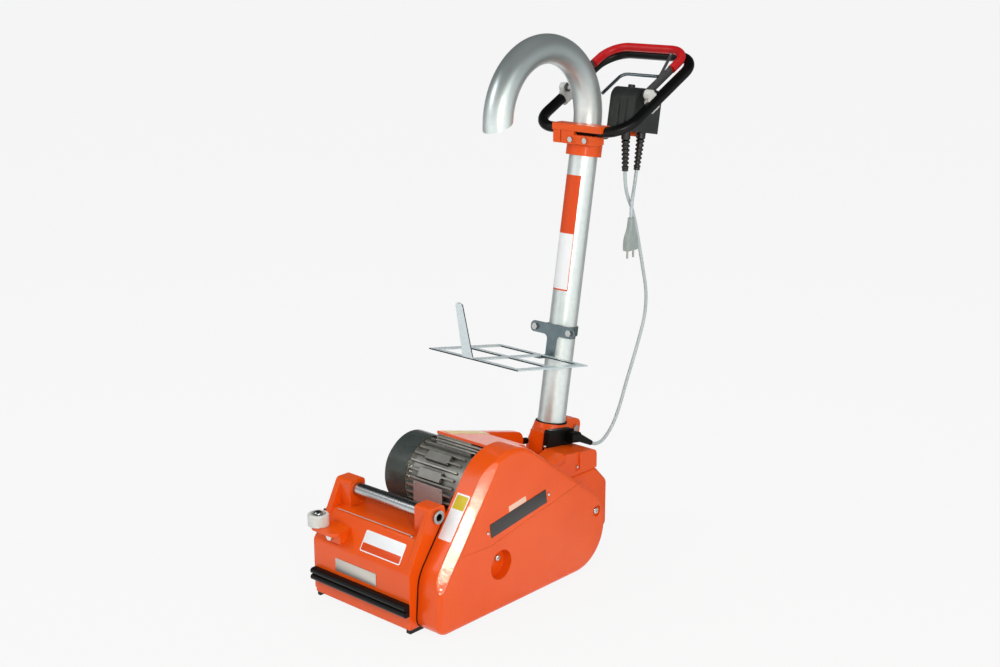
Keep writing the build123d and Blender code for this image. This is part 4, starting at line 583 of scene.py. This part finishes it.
# Tube socket: a flared orange collar with a split ear and a clamp bolt, and a black rubber ring
# that seals the foot of the tube. The motor's black connector box is screwed to its side.
dress(orange_enamel, "tube_socket")
dress(black_rubber, "connector_box", "connector_plug")
lean = math.radians(9.7)
tube_foot = Vector((0, 0.1105, 0.246))
tube_up = Vector((0, math.sin(lean), math.cos(lean)))
seal_rise, seal_squash = 0.001, (1.0, 1.0, 0.8)
bpy.ops.mesh.primitive_torus_add(major_radius=0.0295, minor_radius=0.0024, major_segments=72,
                                 minor_segments=12, location=tube_foot + tube_up * seal_rise,
                                 rotation=(-lean, 0, 0))
seal = name_new("tube_seal")
bpy.ops.object.mode_set(mode="EDIT")
bpy.ops.mesh.select_all(action="SELECT")
bpy.ops.transform.resize(value=seal_squash)
bpy.ops.object.mode_set(mode="OBJECT")
finish_piece(seal, black_rubber)


# Guide tube, bent outlet and rack: zinc-coated steel. The coating has soft spangles about 9 mm
# wide and long faint streaks down the tube. The tube's label is left blank.
def between(material, share, first, second):
    """A value between two others."""
    return add(material, "Mix", {0: share, 2: first, 3: second}).outputs[0]


def pick_faces(piece, test):
    """In edit mode, selects the faces whose middle and normal pass a test."""
    bpy.ops.mesh.select_mode(type="FACE")
    bpy.ops.mesh.select_all(action="DESELECT")
    bpy.ops.object.mode_set(mode="OBJECT")
    for face in piece.data.polygons:
        face.select = test(face.center, face.normal)
    bpy.ops.object.mode_set(mode="EDIT")


def wrap_label(name, radius, low, high, half_turn, thick):
    """A film round the front of the tube, between two heights above its foot."""
    bpy.ops.mesh.primitive_cylinder_add(
        vertices=144, radius=radius, depth=high - low, end_fill_type="NOTHING",
        location=tube_foot + tube_up * (low + high) / 2, rotation=(-lean, 0, 0))
    piece = name_new(name)
    bpy.ops.object.mode_set(mode="EDIT")
    pick_faces(piece, lambda middle, normal: math.atan2(abs(middle.x), -middle.y) > half_turn)
    bpy.ops.mesh.delete(type="FACE")
    bpy.ops.object.mode_set(mode="OBJECT")
    apply_modifier(piece, "SOLIDIFY", thickness=thick, offset=1.0)
    return piece


# Hot zinc: pale and satin. The bend, above 0.86 m, is painted a darker grey than the straight tube
# as painted shade.
zinc_tube, place = start_material("hot_zinc_coated_tube")
spangle_wide = 0.009
spangle = add(zinc_tube, "TexVoronoi", {
    "Vector": place, "Scale": 1 / spangle_wide, "Randomness": 1.0})
spangle_tone = mix(zinc_tube, spangle.outputs["Color"], "#ced8d7", "#d9e1e0")
streaks = noise(zinc_tube, draw_out(zinc_tube, place, 0.006, 0.006, 0.12), detail=3.0)
height = add(zinc_tube, "SeparateXYZ", {"Vector": place}).outputs["Z"]
# Painted shade: the bend turns darker grey.
bend_painted_shade = spread(zinc_tube, height, start=0.86, stop=0.95)
surface(zinc_tube, {
    "Base Color": mix(zinc_tube, bend_painted_shade, spangle_tone, "#a4aeaf"), "Metallic": 0.65,
    "Roughness": spread(zinc_tube, streaks, low=0.28, high=0.40),
    "Normal": bump(zinc_tube, streaks, strength=0.02, depth=0.0005)})
dress(zinc_tube, "guide_tube", "gooseneck")

# The maker's label of the tube: an orange film with a white field on its lower half.
tube_label = wrap_label("tube_label", radius=0.02802, low=0.266, high=0.492,
                        half_turn=math.radians(41), thick=film)
finish_piece(tube_label, orange_vinyl)
label_field = wrap_label("tube_label_field", radius=0.02832, low=0.269, high=0.378,
                         half_turn=math.radians(37), thick=ink)
finish_piece(label_field, white_vinyl)

# Plated sheet of the rack: brighter and cooler than the tube, with a faint roll grain. Its edges
# are
# painted dark as painted shade: those along the plate look forward, those of the tab look
# sideways.
zinc_sheet, place = start_material("bright_zinc_plated_sheet")
roll = noise(zinc_sheet, draw_out(zinc_sheet, place, 0.04, 0.0015, 0.0015))
stand = add(zinc_sheet, "NewGeometry").outputs["Normal"]
facing = add(zinc_sheet, "SeparateXYZ", {"Vector": stand})
forward = maths(zinc_sheet, "ABSOLUTE", facing.outputs["Y"])
sideways = maths(zinc_sheet, "ABSOLUTE", facing.outputs["X"])
height = add(zinc_sheet, "SeparateXYZ", {"Vector": place}).outputs["Z"]
tab = spread(zinc_sheet, height, start=0.424, stop=0.430)
edge_turn = between(zinc_sheet, tab, forward, sideways)
# Painted shade on the edges that face forward, and on the tab's sideways edges.
edge_painted_shade = spread(zinc_sheet, edge_turn, start=0.6, stop=0.8)
surface(zinc_sheet, {
    "Base Color": mix(zinc_sheet, edge_painted_shade, "#d6e4e8", "#2c3337"), "Metallic": 0.45,
    "Roughness": spread(zinc_sheet, roll, low=0.24, high=0.42),
    "Normal": round_edge(zinc_sheet, radius=0.0006)})
dress(zinc_sheet, "rack_plate")

# Bracket and strap of the rack: the same coating gone dull and dark, clouded every 15 mm.
dull_zinc, place = start_material("dull_zinc_plated_bracket")
haze = noise(dull_zinc, place, grain=0.015, detail=3.0)
surface(dull_zinc, {
    "Base Color": mix(dull_zinc, haze, "#66757a", "#839195"), "Metallic": 1.0, "Roughness": 0.38,
    "Normal": round_edge(dull_zinc, radius=0.0008)})
dress(dull_zinc, "rack_bracket", "rack_strap")


# Handle loop and its clamp: a bent black tube held by an orange clamp and cap, with a black
# knob. The bail over it has white hubs, grey legs, a thin rod and a red grip.
powder_black, place = start_material("black_powder_coat")
# Powder coat: deep black with a pebbled gloss 1.5 mm wide, scuffed in patches.
pebble = noise(powder_black, place, grain=0.0015)
scuff = noise(powder_black, place, grain=0.018, detail=5.0)
surface(powder_black, {
    "Base Color": mix(powder_black, scuff, "#040505", "#0d0e0e"),
    "Roughness": 0.34, "Specular IOR Level": 0.2,
    "Normal": bump(powder_black, pebble, strength=0.2, depth=0.0003)})
dress(powder_black, "handle_frame")
dress(dull_zinc, "bail_rod")
dress(orange_enamel, "handle_clamp", "handle_cap")
dress(black_plastic, "clamp_knob")
dress(white_nylon, "bail_bushes")

# Grey paint on the flat strip of the legs: half shiny, lighter in patches 10 mm wide.
grey_paint, place = start_material("dark_grey_paint_on_strip")
chips = noise(grey_paint, place, grain=0.01, detail=5.0)
surface(grey_paint, {
    "Base Color": mix(grey_paint, chips, "#3c3d3e", "#5c5d5e"), "Metallic": 0.3, "Roughness": 0.42,
    "Normal": round_edge(grey_paint, radius=0.0008)})
dress(grey_paint, "bail_legs")

# Dipped red vinyl of the grip: soft, with a faint ripple every 5 mm.
red_vinyl, place = start_material("red_dipped_vinyl")
ripple = noise(red_vinyl, place, grain=0.005)
surface(red_vinyl, {
    "Base Color": mix(red_vinyl, ripple, "#b00a10", "#c41418"),
    "Roughness": 0.36, "Specular IOR Level": 0.3,
    "Normal": bump(red_vinyl, ripple, strength=0.12, depth=0.0005)})
dress(red_vinyl, "bail_grip")


# Stay of the bail: a thin bar from the rod's end to the grip's corner, riveted at both ends.
# It lifts with the bail.
def on_handle(x, along, lift):
    """A place measured from the foot of the handle loop, along its slope and square to it."""
    foot_x, foot_y, foot_z = 0.008, 0.169, 0.824
    slope = math.radians(27.4)
    return Vector((foot_x + x, foot_y + along * math.cos(slope) - lift * math.sin(slope),
                   foot_z + along * math.sin(slope) + lift * math.cos(slope)))


stay_low, stay_high = on_handle(0.0925, 0.172, 0.0235), on_handle(0.0690, 0.247, 0.0240)
stay_out = on_handle(0, 0, 1) - on_handle(0, 0, 0)
stay_face, stay_holes = stay_out * 0.0018, (0.06, 0.94)
stay = plate("bail_stay", wide=(stay_high - stay_low).length, high=0.0065, thick=0.0020,
             corner=0.003, spot=(stay_low + stay_high) / 2, across=stay_high - stay_low,
             out=stay_out)
finish_piece(stay, grey_paint, "bail")
for i, share in enumerate(stay_holes):
    rivet(f"bail_stay_rivet_{i}", zinc_bolt, radius=0.0028, out=stay_out, body="bail",
          spot=stay_low.lerp(stay_high, share) + stay_face)


# Switch box: two black moulded shells on the clamp's shelf, with a lock button on top and two
# ribbed rubber strain reliefs below.
dress(black_plastic, "switch_box", "switch_cover", "lock_button")
gland_rubber, place = start_material("black_moulded_rubber")
# Moulded rubber: blacker and softer than the shells, a little uneven every 3 mm.
mould = noise(gland_rubber, place, grain=0.003)
surface(gland_rubber, {
    "Base Color": mix(gland_rubber, mould, "#0a0a0a", "#171717"), "Roughness": 0.44})
dress(gland_rubber, "cord_glands")


# Mains plug: a flat grey moulded body that flares from a thin neck to a wide foot, with two
# round nickelled pins. It hangs from a short lead.
grey_moulding, place = start_material("grey_moulded_pvc")
# Moulded PVC: a plain satin grey, with faint flow marks 10 mm wide.
flow = noise(grey_moulding, place, grain=0.01)
surface(grey_moulding, {
    "Base Color": mix(grey_moulding, flow, "#8e9a99", "#a4aeac"), "Roughness": 0.42, "IOR": 1.52})

plug_x, plug_y, plug_top, foot_drop = 0.080, 0.2525, 0.650, 0.054
plug = block("moulded_plug", (plug_x, plug_y, plug_top - foot_drop), (0.0138, 0.034, 0.024))
plug_steps = ((0.012, (0.95, 0.62, 1)), (0.009, (0.92, 0.62, 1)), (0.021, (0.86, 0.86, 1)))
bpy.ops.object.mode_set(mode="EDIT")
for rise, taper in plug_steps:
    pick_faces(plug, lambda middle, normal: normal.z > 0.9)
    bpy.ops.mesh.extrude_region_move(TRANSFORM_OT_translate={"value": (0, 0, rise)})
    bpy.ops.transform.resize(value=taper)
bpy.ops.object.mode_set(mode="OBJECT")
apply_modifier(plug, "BEVEL", width=0.0022, segments=3, limit_method="ANGLE",
               angle_limit=math.radians(40))
apply_modifier(plug, "SUBSURF", levels=2, render_levels=2)
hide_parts("mains_plug")
finish_piece(plug, grey_moulding)

# Nickel on the pins: a warm bright metal, dulled in spots 4 mm wide.
nickel, place = start_material("nickelled_brass_pin")
wear = noise(nickel, place, grain=0.004)
surface(nickel, {
    "Base Color": srgb("#a8a39b"), "Metallic": 1.0,
    "Roughness": spread(nickel, wear, low=0.2, high=0.36)})
dress(nickel, "plug_pins")


# Cords: two pale grey plastic-sheathed leads, 7 mm thick. One bows out behind the tube from the
# switch box to the motor's plug, the other is the short lead of the mains plug.
def run_cord(name, points):
    """A round cord on a smooth curve that the points pull."""
    curve = bpy.data.curves.new(name, "CURVE")
    curve.dimensions = "3D"
    curve.bevel_depth = 0.0035
    curve.bevel_resolution = 5
    curve.use_fill_caps = True
    curve.resolution_u = 10
    spline = curve.splines.new("NURBS")
    spline.points.add(len(points) - 1)
    for point, where in zip(spline.points, points):
        point.co = (*where, 1.0)
    spline.order_u = 3
    spline.use_endpoint_u = True
    piece = bpy.data.objects.new(name, curve)
    bpy.context.collection.objects.link(piece)
    curve.materials.append(pale_sheath)
    return piece


# PVC sheath: pale grey with a satin shine, soiled in patches 12 mm wide.
pale_sheath, place = start_material("pale_grey_pvc_sheath")
soil = noise(pale_sheath, place, grain=0.012, detail=3.0)
surface(pale_sheath, {
    "Base Color": mix(pale_sheath, soil, "#aebabe", "#bfcacf"), "Roughness": 0.38, "IOR": 1.5})

motor_route = [
    (0.070, 0.243, 0.7415), (0.070, 0.243, 0.705), (0.0625, 0.284, 0.654), (0.062, 0.313, 0.558),
    (0.062, 0.341, 0.458), (0.062, 0.304, 0.367), (0.0615, 0.274, 0.306), (0.061, 0.254, 0.256),
    (0.0605, 0.228, 0.214), (0.060, 0.18664, 0.18846), (0.060, 0.16208, 0.20190),
]
motor_cord = run_cord("motor_lead", motor_route)
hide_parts("motor_cord")
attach(motor_cord, "machine")

mains_route = [
    (0.070, 0.280, 0.739), (0.070, 0.27579, 0.71436), (plug_x, plug_y, 0.676),
    (plug_x, plug_y, plug_top),
]
mains_cord = run_cord("plug_lead", mains_route)
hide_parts("mains_lead")
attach(mains_cord, "machine")


# Frame bolts: zinc-plated hexagon bolts at the roller and its bracket, the socket's ear, the
# clamp and the rack.
dress(zinc_bolt, "frame_bolts")


# Studio: a wide pale floor, a soft grey room, three large lamps and one small warm flash. The
# floor shows as the pale backdrop and keeps a faint shadow under the machine.
bpy.ops.mesh.primitive_plane_add(size=160)
floor = name_new("studio_floor")
lit_side, seen_level, glow_share = (0.663, -0.749, 0), 1.03, 0.94
pale_floor, place = start_material("pale_studio_paper")
paper = add(pale_floor, "BsdfDiffuse", {"Color": srgb("#ececec")})
path = add(pale_floor, "LightPath")
glossy = path.outputs["Is Glossy Ray"]
# In reflections the floor is bright on the photographer's side and dim behind the machine, apart
# from a narrow bright strip right behind it and a slight shade where the photographer stands.
ahead = dot(pale_floor, place, lit_side)
reach = add(pale_floor, "VectorMath", {0: place}, operation="LENGTH").outputs["Value"]
turned = maths(pale_floor, "DIVIDE", ahead, reach)
lit = spread(pale_floor, turned, start=-0.35, stop=0.35, low=0.30, high=1.45)
behind = spread(pale_floor, turned, start=-0.98, stop=-0.90, low=2.0, high=0.0)
stand_in = spread(pale_floor, turned, start=0.96, stop=1.0, low=1.0, high=0.8)
mirrored = maths(pale_floor, "MAXIMUM", lit, behind)
mirrored = maths(pale_floor, "MULTIPLY", mirrored, stand_in)
level = between(pale_floor, glossy, seen_level, mirrored)
glow = add(pale_floor, "Emission", {"Color": srgb("#f6f6f6"), "Strength": level})
# Eyes and reflections see the glow, and the light that falls sees plain paper.
seen = maths(pale_floor, "MAXIMUM", path.outputs["Is Camera Ray"], glossy)
seen = maths(pale_floor, "MAXIMUM", seen, path.outputs["Is Transmission Ray"])
share = maths(pale_floor, "MULTIPLY", seen, glow_share)
blend = add(pale_floor, "MixShader", {
    0: share, 1: paper.outputs["BSDF"], 2: glow.outputs["Emission"]})
add(pale_floor, "OutputMaterial", {"Surface": blend.outputs["Shader"]})
floor.data.materials.append(pale_floor)

# The room is brightest at the horizon. Reflections find it bright on the photographer's side and
# dim behind the machine and overhead.
world = bpy.data.worlds.new("soft_room")
bpy.context.scene.world = world
world.use_nodes = True
world.node_tree.nodes.clear()
aim = add(world, "TexCoord").outputs["Generated"]
height = add(world, "SeparateXYZ", {"Vector": aim}).outputs["Z"]
falling = spread(world, height, start=0.05, stop=0.60, low=0.92, high=0.44)
toward = dot(world, aim, lit_side)
lit = spread(world, toward, start=-0.35, stop=0.35, low=0.30, high=1.45)
overhead = spread(world, height, start=0.15, stop=0.70, low=1.0, high=0.15)
path = add(world, "LightPath")
shown = between(world, path.outputs["Is Glossy Ray"], 1.0, maths(world, "MULTIPLY", lit, overhead))
power = maths(world, "MULTIPLY", falling, shown)
room = add(world, "Background", {"Color": srgb("#e6e8e9"), "Strength": power})
backdrop = add(world, "Background", {"Color": srgb("#f6f6f6"), "Strength": 1.0})
sky = add(world, "MixShader", {
    0: path.outputs["Is Camera Ray"], 1: room.outputs["Background"],
    2: backdrop.outputs["Background"]})
add(world, "OutputWorld", {"Surface": sky.outputs["Shader"]})

# The lamps. The one overhead stays out of the reflections.
for name, spot, target, size, watts, tint in (
    ("key_lamp", (-1.6, -2.6, 2.6), (0, -0.1, 0.4), 1.6, 36, "#ffffff"),
    ("side_lamp", (2.9, -0.6, 1.9), (0, -0.1, 0.4), 1.8, 15, "#ffffff"),
    ("top_lamp", (0.2, 0.6, 3.2), (0, 0, 0.3), 2.0, 26, "#ffffff"),
    ("flash_lamp", (2.07, -1.49, 1.26), (0.15, -0.3, 0.19), 0.20, 24, "#fff7e4"),
):
    lamp = bpy.data.lights.new(name, "AREA")
    lamp.size = size
    lamp.energy = watts
    lamp.color = srgb(tint)[:3]
    holder = bpy.data.objects.new(name, lamp)
    bpy.context.collection.objects.link(holder)
    holder.location = spot
    holder.rotation_euler = (Vector(target) - Vector(spot)).to_track_quat("-Z", "Y").to_euler()
    holder.visible_glossy = name != "top_lamp"

# The photo's camera, as it was solved from the machine's upright and level edges.
camera_tilt, camera_turn = math.radians(74.766), math.radians(42.142)
eye = bpy.data.cameras.new("photo_camera")
eye.lens = 54.0
eye.sensor_width = 36.0
eye.clip_end = 200.0
camera = bpy.data.objects.new("photo_camera", eye)
bpy.context.collection.objects.link(camera)
camera.location = (1.83392, -2.06873, 1.20314)
camera.rotation_euler = (camera_tilt, 0, camera_turn)
bpy.context.scene.camera = camera
bpy.context.scene.view_settings.view_transform = "Standard"
